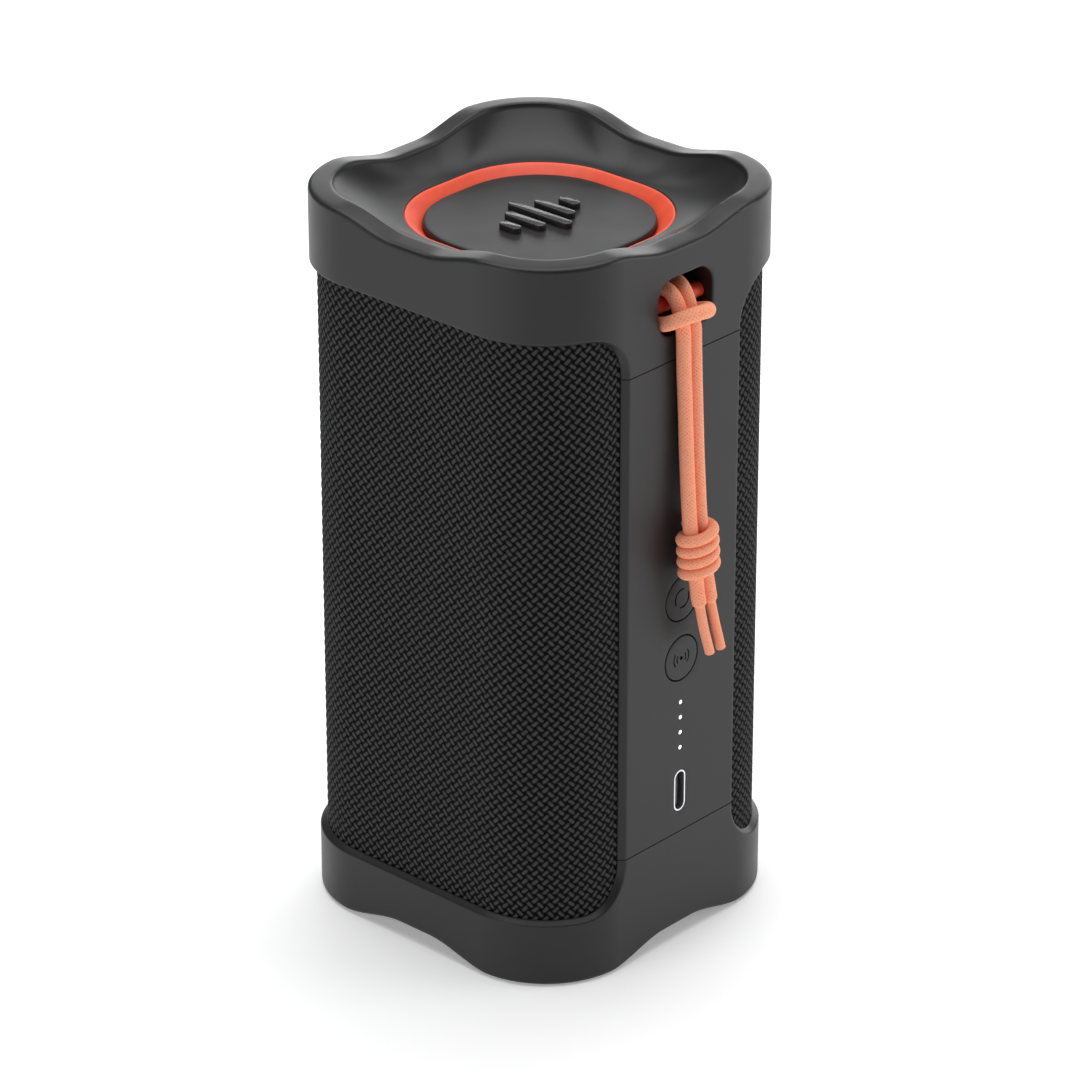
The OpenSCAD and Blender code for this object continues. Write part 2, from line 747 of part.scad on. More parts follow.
// Flange, tapering wall with four windows, and the ring that holds the magnet.
module driver_basket() {
    top = -driver_gasket_t - touch;
    wall = 1.2;
    difference() {
        union() {
            difference() {
                translate([0, 0, top - flange_t]) cylinder(r = driver_d / 2, h = flange_t);
                translate([0, 0, -half]) cylinder(r = flange_hole_r, h = half + over);
            }
            rotate_extrude() polygon([
                [flange_hole_r, top - flange_t], [flange_hole_r + wall, top - flange_t],
                [flange_hole_r - 1 + wall, spider_z - 1], [magnet_d / 2 + wall, front_plate_z],
                [gap_r + 0.8, front_plate_z], [gap_r + 0.8, front_plate_z + wall],
                [magnet_d / 2, front_plate_z + wall], [flange_hole_r - 3, spider_z],
                [flange_hole_r - 1, spider_z]]);
        }
        driver_screw_places() translate([0, 0, -half]) cylinder(r = driver_screw_r + slip, h = half + over);
        for (a = [0:90:270]) rotate([0, 0, a])
            block([flange_hole_r - 4, -5, spider_z + 1.6], [driver_d / 2 + over, 5, top - flange_t - 0.8]);
    }
}

module driver_magnet() {
    rotate_extrude() polygon([
        [0, magnet_back_z], [magnet_d / 2, magnet_back_z], [magnet_d / 2, front_plate_z - touch],
        [gap_r, front_plate_z - touch], [gap_r, magnet_back_z + 2], [pole_r, magnet_back_z + 2],
        [pole_r, front_plate_z + 0.4], [0, front_plate_z + 0.4]]);
}

// Half-roll edge between the flange and the cone.
module driver_surround() {
    roll = (pad_hole_r - 0.6 - cone_r) / 2;
    rotate_extrude() translate([cone_r + roll, 0]) difference() {
        union() {
            circle(roll);
            translate([roll - 0.4, 0]) square([0.8, 0.8], center = true);
        }
        circle(roll - 0.5);
        translate([-half, -half - 0.1]) square([2 * half, half]);
    }
}

module driver_spider() {
    rotate_extrude() translate([coil_r + touch, spider_z + touch]) square([flange_hole_r - coil_r - 1.1, 0.4]);
}

// Paper cone with its rolled-in dust cap.
module driver_cone() {
    rotate_extrude() polygon([
        [cone_r - touch, 0], [cone_r - touch, -0.6], [coil_r + touch, -7.2], [coil_r + touch, -7.8],
        [coil_in_r, -7.8], [coil_in_r, -5.6], [coil_in_r - 2, -4.6], [0, -4], [0, -3.4],
        [coil_in_r - 1.8, -4], [coil_in_r + 0.6, -5.2], [cone_r - 0.8, 0]]);
}

module driver_coil() {
    difference() {
        translate([0, 0, magnet_back_z + 2 + cone_travel + 0.6])
            cylinder(r = coil_r, h = -7.85 - (magnet_back_z + 2 + cone_travel + 0.6));
        translate([0, 0, -half]) cylinder(r = coil_in_r, h = half);
    }
}

module left_driver_basket() { color("#3a3b3d") at_driver(-1) driver_basket(); }
module left_driver_magnet() { color("#8b8e92") at_driver(-1) driver_magnet(); }
module left_driver_surround() { color("#161617") at_driver(-1) driver_surround(); }
module left_driver_spider() { color("#b98a3c") at_driver(-1) driver_spider(); }
module left_cone() { color("#232325") at_driver(-1) driver_cone(); }
module left_voice_coil() { color("#b5692e") at_driver(-1) driver_coil(); }
module right_driver_basket() { color("#3a3b3d") at_driver(1) driver_basket(); }
module right_driver_magnet() { color("#8b8e92") at_driver(1) driver_magnet(); }
module right_driver_surround() { color("#161617") at_driver(1) driver_surround(); }
module right_driver_spider() { color("#b98a3c") at_driver(1) driver_spider(); }
module right_cone() { color("#232325") at_driver(1) driver_cone(); }
module right_voice_coil() { color("#b5692e") at_driver(1) driver_coil(); }

module driver_gaskets() {
    color("#1d1d1f") for (s = [-1, 1]) at_driver(s) driver_gasket();
}

module driver_screws() {
    length = flange_t + driver_gasket_t + touch + 3;
    color("#b9bcc0") for (s = [-1, 1]) at_driver(s) driver_screw_places()
        translate([0, 0, 3]) screw_up(driver_screw_r, 1.7, 1.2, length);
}

// ---- Battery ----

module battery_cells() {
    color("#2f6f9f") for (s = [-1, 1]) translate([0, s * cell_y, cell_bottom]) {
        cylinder(r = cell_d / 2, h = cell_l - 1.2);
        cylinder(r = cell_d / 4, h = cell_l);
    }
}

// Back plate with an end plate above and below the cells.
module battery_cradle() {
    front = -cell_y - cell_d / 2;
    color("#232325") difference() {
        union() {
            block([-cradle_boss_x - cradle_boss_r, cradle_back, cradle_bottom],
                [cradle_boss_x + cradle_boss_r, cradle_back + cradle_t, cradle_top]);
            for (z = [cradle_bottom, cradle_top - cradle_t])
                block([-cell_d / 2, front, z], [cell_d / 2, cradle_back + touch, z + cradle_t]);
        }
        for (x = [-1, 1], z = cradle_boss_z)
            rod_y(cradle_screw_r + slip, x * cradle_boss_x, z, 0, half);
    }
}

module cradle_screws() {
    color("#b9bcc0") for (x = [-1, 1], z = cradle_boss_z)
        translate([x * cradle_boss_x, cradle_back + cradle_t + 8, z]) rotate([-90, 0, 0])
            screw_up(cradle_screw_r, 2.2, 1.5, cradle_t + 8);
}

// ---- Electronics ----

module main_board() {
    color("#1f5a3a") difference() {
        block([-board_half, -board_front, board_bottom], [board_half, -board_back, board_top]);
        for (x = [-board_post_x, board_post_x], z = board_post_z)
            rod_y(board_screw_r + slip, x, z, -half, 0);
    }
}

// Height on the board of what is drawn at this rise above the power switch, and the length of a chip there.
function on_board(rise) = chip_floor + rise * chip_room / layout_room;
function on_board_h(length) = length * chip_room / layout_room;

// A block standing on the front of the board, centred on x, z.
module chip(x, z, w, h, t) {
    block([x - w / 2, -board_front - t, z - h / 2], [x + w / 2, -board_front, z + h / 2]);
}

module board_components() {
    color("#1a1a1c") {
        chip(6, on_board(14.7), 7, on_board_h(7), 1);
        chip(-6, on_board(14.7), 6, on_board_h(6), 1);
        for (x = [-9, -3, 3, 9]) chip(x, on_board(5.7), 3.6, on_board_h(3.6), 1.8);
        chip(9.5, usb_z + 2, 4, 4, 0.9);
        chip(-9.5, usb_z + 2, 4, 3, 1.2);
        chip(9, power_z - 2.7, 5, 9, 1.6);
    }
    color("#b5b7ba") for (x = [-1, 1]) rod_y(2, 9 * x, on_board(can_rise), -board_front - 2.6, -board_front);
}

module radio_can() {
    z = on_board(can_rise);
    can_h = on_board_h(15);
    hollow_half = can_h / 2 - 0.4;
    color("#b5b7ba") difference() {
        chip(0, z, 12, can_h, 1.8);
        block([-5.6, -board_front - 1.5, z - hollow_half], [5.6, -board_front, z + hollow_half]);
    }
}

module board_screws() {
    color("#b9bcc0") for (x = [-board_post_x, board_post_x], z = board_post_z)
        translate([x, -board_front + board_t + 2.6, z]) rotate([-90, 0, 0])
            screw_up(board_screw_r, 1.9, 1, board_t + 2.6);
}

module tactile_switches() {
    color("#2a2a2c") for (z = [power_z, pairing_z]) difference() {
        chip(0, z, switch_side, switch_side, switch_top - board_front);
        rod_y(plunger_r + 0.1, 0, z, -switch_top - over, -switch_top + plunger_l + button_travel + 0.1);
    }
}

module light_diodes() {
    color("#f2efd8") for (i = [0:led_count - 1]) chip(0, led_top_z - i * led_pitch, 1.6, 1, diode_t);
}

// One clear moulding: a bar behind the spine with a rod for each light.
module light_guide() {
    last = led_top_z - (led_count - 1) * led_pitch;
    color("#f4f4f2") {
        block([-1.2, -spine_back + touch, last - 1.2], [1.2, -spine_back + touch + guide_bar_t, led_top_z + 1.2]);
        for (i = [0:led_count - 1])
            rod_y(led_d / 2, 0, led_top_z - i * led_pitch, -half + touch, -spine_back + touch + 0.1);
    }
}

module usb_shell() {
    color("#c9cbce") plate_xz(-half, -board_front) translate([0, usb_z]) difference() {
        stadium(usb_w, usb_t);
        stadium(usb_w - 2 * usb_wall, usb_t - 2 * usb_wall);
    }
}

module usb_tongue() {
    root_w = usb_w - 2 * usb_wall - 2 * touch;
    root_t = usb_t - 2 * usb_wall - 2 * touch;
    color("#3b3b3d") {
        plate_xz(-board_front - 1, -board_front) translate([0, usb_z]) stadium(root_w, root_t);
        block([-0.35, -half + 0.9, usb_z - 3.35], [0.35, -board_front - 0.9, usb_z + 3.35]);
    }
}

// Soft collar around the socket, behind the spine.
module usb_seal() {
    color("#1d1d1f") plate_xz(-spine_back + touch, -spine_back + touch + 1.2) translate([0, usb_z]) difference() {
        stadium(usb_w + 2 * usb_seal_w, usb_t + 2 * usb_seal_w);
        stadium(usb_w + 2 * touch, usb_t + 2 * touch);
    }
}

// Button face, retaining flange and stem, without its icon.
module button_blank(z) {
    flange_front = -spine_back + slip;
    rod_y(button_d / 2, 0, z, -half, flange_front + button_flange_t);
    rod_y(button_flange_r, 0, z, flange_front, flange_front + button_flange_t);
    rod_y(stem_r, 0, z, flange_front, -stem_end);
}

module power_button() {
    color("#4c4c4d") difference() {
        button_blank(power_z);
        plate_xz(-half - over, -half + button_icon_depth) translate([0, power_z]) difference() {
            circle(2.2);
            circle(1.8);
        }
    }
}

// The icon is a dot with two arcs on each side.
module pairing_button() {
    color("#4c4c4d") difference() {
        button_blank(pairing_z);
        plate_xz(-half - over, -half + button_icon_depth) translate([0, pairing_z]) {
            circle(0.45);
            for (s = [-1, 1], r = [1.3, 2.2]) intersection() {
                difference() {
                    circle(r + 0.18);
                    circle(r - 0.18);
                }
                polygon([[0, 0], [s * 4, 3], [s * 4, -3]]);
            }
        }
    }
}

// Moving core of a switch, carried by its button.
module plunger(z) {
    color("#d8d4c8") rod_y(plunger_r, 0, z, -stem_end, -switch_top + plunger_l);
}

module power_plunger() { plunger(power_z); }
module pairing_plunger() { plunger(pairing_z); }

module lead_grommet() {
    wall_back = -tray_floor + tray_wall;
    color("#1d1d1f") {
        rod_y(grommet_r - 0.8 - touch, 0, lead_z, -tray_floor - 0.6, wall_back + 0.8);
        rod_y(grommet_r, 0, lead_z, wall_back + touch, wall_back + 0.8);
    }
}

module internal_leads() {
    grommet_face = -tray_floor + tray_wall + 0.8 + touch;
    terminal_x = pad_x + front_plate_z - 1.2;
    color("#c43a2f") {
        swept_tube([[0, -cell_y, cradle_top + touch], [0, -cell_y, lead_z - 3], [0, -cell_y - 3, lead_z],
            [0, grommet_face, lead_z]], lead_r, [1, 0, 0]);
        for (s = [-1, 1])
            swept_tube([[s * terminal_x, -magnet_d / 2 - 0.4, driver_z], [s * terminal_x, -magnet_d / 2 - 4, driver_z],
                [s * 10, grommet_face + 4, driver_z - 1], [s * 2.2, grommet_face + 2.5, lead_z],
                [s * 2.2, grommet_face, lead_z]], lead_r, [0, 0, 1]);
    }
}

top_cap();
bottom_cap();
spine_panel();
core_housing();
fabric_sleeve();
top_cap_gasket();
bottom_cap_gasket();
top_cap_screws();
bottom_cap_screws();
screw_plugs();
lanyard_bar();
lanyard_loop();
lanyard_knot();
lanyard_tails();
top_radiator_frame();
top_radiator_surround();
top_radiator_plate();
top_radiator_badge();
bottom_radiator_frame();
bottom_radiator_surround();
bottom_radiator_plate();
radiator_screws();
left_driver_basket();
left_driver_magnet();
left_driver_surround();
left_driver_spider();
left_cone();
left_voice_coil();
right_driver_basket();
right_driver_magnet();
right_driver_surround();
right_driver_spider();
right_cone();
right_voice_coil();
driver_gaskets();
driver_screws();
battery_cells();
battery_cradle();
cradle_screws();
main_board();
board_components();
radio_can();
board_screws();
tactile_switches();
light_diodes();
light_guide();
usb_shell();
usb_tongue();
usb_seal();
power_button();
pairing_button();
power_plunger();
pairing_plunger();
lead_grommet();
internal_leads();
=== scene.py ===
"""Looks of a portable speaker: wavy caps, a control spine, a woven sleeve, radiators and a cord.

Shapes are written in millimetres and turned to metres when a mesh is made. Depths run inward from
the skin.
"""

import logging
import math
from dataclasses import dataclass
from enum import Enum
from typing import Callable, Iterable, Sequence

import bmesh
import bpy
import numpy as np
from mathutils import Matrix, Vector


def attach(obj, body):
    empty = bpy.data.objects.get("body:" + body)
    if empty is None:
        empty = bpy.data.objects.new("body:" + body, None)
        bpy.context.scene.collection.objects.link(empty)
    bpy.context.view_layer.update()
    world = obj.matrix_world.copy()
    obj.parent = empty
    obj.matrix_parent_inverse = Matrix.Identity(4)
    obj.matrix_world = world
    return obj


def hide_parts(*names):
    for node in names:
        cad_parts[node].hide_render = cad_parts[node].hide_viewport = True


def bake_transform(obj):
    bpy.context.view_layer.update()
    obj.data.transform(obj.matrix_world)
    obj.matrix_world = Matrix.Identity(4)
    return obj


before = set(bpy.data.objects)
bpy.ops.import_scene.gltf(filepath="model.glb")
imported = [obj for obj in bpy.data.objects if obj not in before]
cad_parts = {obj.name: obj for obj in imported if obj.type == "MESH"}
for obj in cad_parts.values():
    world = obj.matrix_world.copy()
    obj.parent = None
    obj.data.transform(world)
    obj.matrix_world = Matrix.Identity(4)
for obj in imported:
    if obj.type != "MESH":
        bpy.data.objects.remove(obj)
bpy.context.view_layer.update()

LOG = logging.getLogger("speaker")
MM = 0.001
QUARTER = math.pi / 2
STATIONS = 8.0
HALVINGS = 40
FAR_OUT = 40.0
SLIGHT = 1e-3
ENCLOSURE = "enclosure"

Point = tuple[float, float, float]
Pair = tuple[float, float]
Block = tuple[int, int, int, int]
Socket = bpy.types.NodeSocket


# ---- Sizes shared by the pieces, in millimetres ----


@dataclass(frozen=True)
class BodySizes:
    """Sizes that more than one piece follows."""

    height: float = 153.0
    half: float = 37.2
    corner: float = 19.7
    wave: float = 2.8
    wave_flat: float = 4.0
    wave_end: float = 19.7
    rim: float = 4.8
    spine_half: float = 16.9
    opening_corner: float = 9.0
    top_opening: float = 16.2
    bottom_opening: float = 14.3
    top_seam: float = 25.7
    bottom_seam: float = 24.1
    seam_gap: float = 0.17
    dish: float = 7.0
    lip: float = 9.6
    ring_half: float = 24.2
    ring_corner: float = 19.6
    plate_half: float = 21.0
    plate_corner: float = 17.4
    plate_drop: float = 8.2
    plate_back: float = 11.4
    button_hole: float = 4.9
    power_z: float = 75.7
    pairing_z: float = 62.7
    light_top: float = 53.0
    light_pitch: float = 3.33
    light_count: int = 4
    light_hole: float = 0.42
    socket_z: float = 33.4
    socket_half: tuple[float, float] = (1.68, 4.52)
    slot_z: float = 138.1
    slot_half: tuple[float, float] = (7.65, 5.75)
    slot_corner: float = 4.0
    slot_depth: float = 8.3
    plug_place: float = 24.5
    plug_hole: float = 2.3
    plug_floor: float = 8.3


SIZES = BodySizes()


class End(Enum):
    """The two ends of the body."""

    TOP = "top"
    BOTTOM = "bottom"

    def height(self, depth: np.ndarray | float) -> np.ndarray | float:
        """Height above the floor of a depth below this end's plane."""
        return SIZES.height - depth if self is End.TOP else depth


# ---- Outlines ----


@dataclass(frozen=True)
class Outline:
    """Square with rounded corners, seen from above.

    A station runs from 0 to 8: each side, then the corner after it.
    """

    half: float
    corner: float

    def at(self, stations: np.ndarray) -> tuple[np.ndarray, np.ndarray]:
        """Points and outward normals.

        Args:
            stations: Places along the outline; 0 to 1 is the front side, from left to right.

        Returns:
            Two arrays of x, y.
        """
        stations = np.mod(stations, STATIONS)
        side = np.floor(stations / 2)
        share = stations - 2 * side
        flat = self.half - self.corner
        turn = np.clip(share - 1, 0, 1) * QUARTER
        nx, ny = np.sin(turn), -np.cos(turn)
        px = flat * (2 * np.clip(share, 0, 1) - 1) + self.corner * nx
        py = -flat + self.corner * ny
        c, s = np.cos(side * QUARTER), np.sin(side * QUARTER)
        points = np.stack([c * px - s * py, s * px + c * py], -1)
        normals = np.stack([c * nx - s * ny, s * nx + c * ny], -1)
        return points, normals

    def station_of(self, x: np.ndarray) -> np.ndarray:
        """Station on the front side, or on the corners beside it, of a distance from the middle."""
        flat = self.half - self.corner
        beyond = np.clip((np.abs(x) - flat) / self.corner, 0, 1)
        share = np.where(
            np.abs(x) <= flat, (np.abs(x) / flat + 1) / 2, 1 + np.arcsin(beyond) / QUARTER
        )
        return np.where(x < 0, 1 - share, share)


BODY = Outline(SIZES.half, SIZES.corner)
RIM = Outline(SIZES.half - SIZES.rim, SIZES.corner - SIZES.rim)
RING = Outline(SIZES.ring_half, SIZES.ring_corner)


def wave_depth(points: np.ndarray) -> np.ndarray:
    """How far the rim lies below the end plane over each x, y: deepest at the middle of a side."""

    def along(t: np.ndarray) -> np.ndarray:
        """The wave over one direction."""
        share = np.clip((np.abs(t) - SIZES.wave_flat) / (SIZES.wave_end - SIZES.wave_flat), 0, 1)
        return SIZES.wave * (1 - share * share * (3 - 2 * share))

    return np.maximum(along(points[:, 0]), along(points[:, 1]))


def halve(count: int, limit: float, inside: Callable[[np.ndarray], np.ndarray]) -> np.ndarray:
    """Finds the last distance that is still inside, for many places at once.

    Args:
        count: How many places.
        limit: A distance that is outside for all of them.
        inside: Tells which of the distances it is given are inside.

    Returns:
        The distances.
    """
    near, far = np.zeros(count), np.full(count, limit)
    for _ in range(HALVINGS):
        middle = (near + far) / 2
        hit = inside(middle)
        near, far = np.where(hit, middle, near), np.where(hit, far, middle)
    return near


def on_rounded_box(angles: np.ndarray, half: Pair, corner: float, grow: float = 0.0) -> np.ndarray:
    """Points where rays from the middle meet a rounded box.

    Args:
        angles: Direction of each ray, in radians.
        half: Half the width and half the height.
        corner: Corner radius.
        grow: Distance that the outline is moved outward.

    Returns:
        Array of x, z.
    """
    ways = np.stack([np.cos(angles), np.sin(angles)], -1)

    def inside(reach: np.ndarray) -> np.ndarray:
        """True where the ray's end is inside the box."""
        beyond = np.maximum(np.abs(ways * reach[:, None]) - (np.array(half) - corner), 0)
        return np.linalg.norm(beyond, axis=1) - corner < grow

    return ways * halve(len(angles), FAR_OUT, inside)[:, None]


def circle(count: int) -> np.ndarray:
    """Evenly spaced angles once round."""
    return np.linspace(0, 2 * math.pi, count, endpoint=False)


def travelled(line: np.ndarray) -> np.ndarray:
    """Distance along a line up to each of its points."""
    return np.concatenate([[0], np.cumsum(np.linalg.norm(np.diff(line, axis=0), axis=1))])


# ---- Meshes ----


class Skin:
    """Collects the corners and faces of one mesh, in millimetres."""

    def __init__(self) -> None:
        """Starts empty."""
        self.points: list[np.ndarray] = []
        self.faces: list[tuple[int, ...]] = []
        self.count = 0

    def add(self, points: np.ndarray) -> np.ndarray:
        """Adds points of any array shape and returns their numbers in that shape."""
        flat = np.asarray(points, float).reshape(-1, 3)
        self.points.append(flat)
        numbers = np.arange(self.count, self.count + len(flat)).reshape(np.shape(points)[:-1])
        self.count += len(flat)
        return numbers

    def level(self, flat: np.ndarray, height: float | np.ndarray) -> np.ndarray:
        """Adds a row of points from their x, y and their height."""
        return self.add(np.column_stack([flat, np.broadcast_to(height, len(flat))]))

    def upright(self, spot: np.ndarray, depth: float | np.ndarray, height: float) -> np.ndarray:
        """Adds a row of points at a depth behind the front, from their x and z over a height."""
        y = np.broadcast_to(depth - SIZES.half, len(spot))
        return self.add(np.column_stack([spot[:, 0], y, spot[:, 1] + height]))

    def grid(
        self,
        ids: np.ndarray,
        round_rows: bool = False,
        round_columns: bool = False,
        holes: Iterable = (),
    ) -> None:
        """Joins a grid of numbered points with quads.

        Args:
            ids: Point numbers, rows by columns.
            round_rows: True if the last row meets the first.
            round_columns: True if the last column meets the first.
            holes: Blocks (row, last row, column, last column) whose cells are left out.
        """
        rows, columns = ids.shape
        keep = np.ones((rows - (not round_rows), columns - (not round_columns)), bool)
        for r0, r1, c0, c1 in holes:
            keep[r0:r1, c0:c1] = False
        r, c = np.nonzero(keep)
        r2, c2 = (r + 1) % rows, (c + 1) % columns
        quads = np.stack([ids[r, c], ids[r, c2], ids[r2, c2], ids[r2, c]], -1)
        self.faces.extend(map(tuple, quads.tolist()))

    def chain(self, loops: Sequence[np.ndarray]) -> np.ndarray:
        """Joins closed loops of numbered points, each to the next, and returns the last."""
        for first, second in zip(loops, loops[1:]):
            self.grid(np.stack([first, second]), round_columns=True)
        return loops[-1]

    def fan(self, loop: np.ndarray, middle: Sequence[float]) -> None:
        """Closes a loop with triangles to a middle point."""
        centre = int(self.add(np.array([middle]))[0])
        for a, b in zip(loop.tolist(), np.roll(loop, -1).tolist()):
            self.faces.append((a, b, centre))

    def block_edge(self, ids: np.ndarray, block: Block) -> np.ndarray:
        """Point numbers round a block of a grid, in order."""
        r0, r1, c0, c1 = block
        return np.concatenate(
            [ids[r0, c0:c1], ids[r0:r1, c1], ids[r1, c1:c0:-1], ids[r1:r0:-1, c0]]
        )

    def where(self, ids: np.ndarray) -> np.ndarray:
        """Places of numbered points."""
        return np.concatenate(self.points)[ids]

    def piece(
        self,
        name: str,
        sharp: float = 60.0,
        outward: bool = True,
        marks: dict[str, np.ndarray] | None = None,
    ) -> bpy.types.Object:
        """Makes the object.

        Args:
            name: Name of the object.
            sharp: Edges that bend more than this angle, in degrees, stay sharp.
            outward: True to turn all faces of a closed mesh outward.
            marks: Vectors to keep at each point, by the name that a material reads.

        Returns:
            The object, linked to the scene.
        """
        mesh = bpy.data.meshes.new(name)
        mesh.from_pydata((np.concatenate(self.points) * MM).tolist(), [], self.faces)
        if outward:
            work = bmesh.new()
            work.from_mesh(mesh)
            bmesh.ops.recalc_face_normals(work, faces=work.faces)
            work.to_mesh(mesh)
            work.free()
        for mark, values in (marks or {}).items():
            kept = mesh.attributes.new(mark, "FLOAT_VECTOR", "POINT")
            kept.data.foreach_set("vector", values.astype(np.float32).ravel())
        mesh.polygons.foreach_set("use_smooth", np.ones(len(mesh.polygons), bool))
        mesh.set_sharp_from_angle(angle=math.radians(sharp))
        mesh.update()
        made = bpy.data.objects.new(name, mesh)
        bpy.context.scene.collection.objects.link(made)
        return made


def log_built(piece: bpy.types.Object) -> bpy.types.Object:
    """Logs a finished piece and returns it."""
    LOG.info("built %s with %d faces", piece.name, len(piece.data.polygons))
    return piece


def put_on(
    piece: bpy.types.Object, body: str, slot: str, finish: "Finish", *nodes: str
) -> bpy.types.Object:
    """Dresses a finished piece and ties it to the frame.

    Args:
        piece: The object.
        body: CAD body that it rides on.
        slot: Not used.
        finish: Its finish.
        nodes: CAD nodes that it stands for.

    Returns:
        The same object.
    """
    piece.data.materials.append(finish.material())
    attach(piece, body)
    if nodes:
        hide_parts(*nodes)
    return log_built(piece)


def put_between(
    piece: bpy.types.Object, finish: "Finish", ends: Sequence[
        Point
    ], node: str
) -> bpy.types.Object:
    """Dresses a soft piece that in the object bends between the still enclosure and a moving body;
    here it is only baked where it stands.

    Args:
        piece: The object.
        finish: Its finish.
        ends: Where it would follow the enclosure and where it would follow the body, in metres; not
            used.
        node: CAD node that it stands for.

    Returns:
        The same object.
    """
    piece.data.materials.append(finish.material())
    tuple(ends[0])
    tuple(ends[1])
    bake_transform(piece)
    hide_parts(node)
    return log_built(piece)


# ---- Finishes ----


def linear(hex_colour: str) -> tuple[float, float, float, float]:
    """Turns an sRGB hex colour to linear red, green, blue and alpha."""
    parts = [int(hex_colour[i : i + 2], 16) / 255 for i in (1, 3, 5)]
    red, green, blue = (p / 12.92 if p <= 0.04045 else ((p + 0.055) / 1.055) ** 2.4 for p in parts)
    return red, green, blue, 1.0


class Paint:
    """Node tree of one material, with the steps that several finishes share."""

    def __init__(self, material: bpy.types.Material) -> None:
        """Opens the material's tree."""
        material.use_nodes = True
        self.tree = material.node_tree
        self.shader = self.tree.nodes["Principled BSDF"]

    def add_node(
        self, kind: str, settings: dict | None = None, links: dict | None = None
    ) -> bpy.types.Node:
        """Adds a node.

        Args:
            kind: Blender's name for the node type.
            settings: Values by attribute name, input name or input number.
            links: Output sockets by input name or number.

        Returns:
            The node.
        """
        made = self.tree.nodes.new(kind)
        for key, value in (settings or {}).items():
            if isinstance(key, str) and hasattr(made, key):
                setattr(made, key, value)
            else:
                made.inputs[key].default_value = value
        for key, socket in (links or {}).items():
            self.tree.links.new(socket, made.inputs[key])
        return made

    def constants(self, values: dict[str, float | Point]) -> None:
        """Sets values on the shader's own sockets."""
        for name, value in values.items():
            self.shader.inputs[name].default_value = value

    def feed(self, socket: Socket, *names: str) -> None:
        """Runs a socket into inputs of the shader."""
        for name in names:
            self.tree.links.new(socket, self.shader.inputs[name])

    def millimetres(self, stretch: Point = (1, 1, 1)) -> Socket:
        """The surface's own coordinates in millimetres, stretched along the axes."""
        place = self.add_node("ShaderNodeTexCoord").outputs["Object"]
        scale = {"Scale": [s / MM for s in stretch]}
        return self.add_node("ShaderNodeMapping", scale, {"Vector": place}).outputs["Vector"]

    def mark(self, name: str) -> Socket:
        """The vector that the mesh keeps at each point under a name."""
        return self.add_node("ShaderNodeAttribute", {"attribute_name": name}).outputs["Vector"]

    def noise(self, place: Socket, scale: float, detail: float, **more: float) -> Socket:
        """Noise with so many spots to the unit of a place."""
        settings = {"Scale": scale, "Detail": detail, **more}
        return self.add_node("ShaderNodeTexNoise", settings, {"Vector": place}).outputs["Fac"]

    def calc(self, operation: str, *operands: float | Socket) -> Socket:
        """Result of one sum over numbers and sockets."""
        settings, links = {"operation": operation}, {}
        for i, operand in enumerate(operands):
            (links if isinstance(operand, Socket) else settings)[i] = operand
        return self.add_node("ShaderNodeMath", settings, links).outputs[0]

    def colours(self, drive: Socket, *steps: tuple[float, str]) -> Socket:
        """Colour ramp with stops of (place, hex colour)."""
        node = self.add_node("ShaderNodeValToRGB", links={"Fac": drive})
        ramp = node.color_ramp
        while len(ramp.elements) < len(steps):
            ramp.elements.new(0.5)
        for element, (place, colour) in zip(ramp.elements, steps):
            element.position = place
            element.color = linear(colour)
        return node.outputs["Color"]

    def tint(self, drive: Socket, *steps: tuple[float, str]) -> None:
        """Lets a socket choose the base colour."""
        self.feed(self.colours(drive, *steps), "Base Color")

    def lit(self, drive: Socket, strength: float, *steps: tuple[float, str]) -> None:
        """Lets a socket choose the colour of a surface that glows."""
        self.feed(self.colours(drive, *steps), "Base Color", "Emission Color")
        self.constants({"Emission Strength": strength})

    def gloss(self, drive: Socket, low: float, high: float, span: Pair = (0.0, 1.0)) -> None:
        """Lets a socket that runs over a span set the roughness between two values."""
        settings = {"From Min": span[0], "From Max": span[1], "To Min": low, "To Max": high}
        made = self.add_node("ShaderNodeMapRange", settings, {"Value": drive})
        self.feed(made.outputs["Result"], "Roughness")

    def relief(self, height: Socket, strength: float, depth_mm: float) -> None:
        """Raises the surface by a height."""
        settings = {"Strength": strength, "Distance": depth_mm * MM}
        made = self.add_node("ShaderNodeBump", settings, {"Height": height})
        self.feed(made.outputs["Normal"], "Normal")

    def scatter(self, weight: float, radius: Point, scale_mm: float) -> None:
        """Lets light spread under the skin."""
        self.constants(
            {
                "Subsurface Weight": weight,
                "Subsurface Radius": radius,
                "Subsurface Scale": scale_mm * MM,
            }
        )


@dataclass(frozen=True)
class Finish:
    """What a surface is made of and how it was made."""

    name: str
    colour: str
    roughness: float = 0.5
    ior: float = 1.5
    metallic: float = 0.0

    def material(self) -> bpy.types.Material:
        """The finish as a material, made the first time that it is asked for."""
        known = bpy.data.materials.get(self.name)
        if known:
            return known
        made = bpy.data.materials.new(self.name)
        paint = Paint(made)
        paint.constants({"Roughness": self.roughness, "Metallic": self.metallic})
        if not self.metallic:
            paint.constants({"IOR": self.ior})
        self.dress(paint)
        return made

    def dress(self, paint: Paint) -> None:
        """Adds the finish's pattern to the shader."""
        raise NotImplementedError


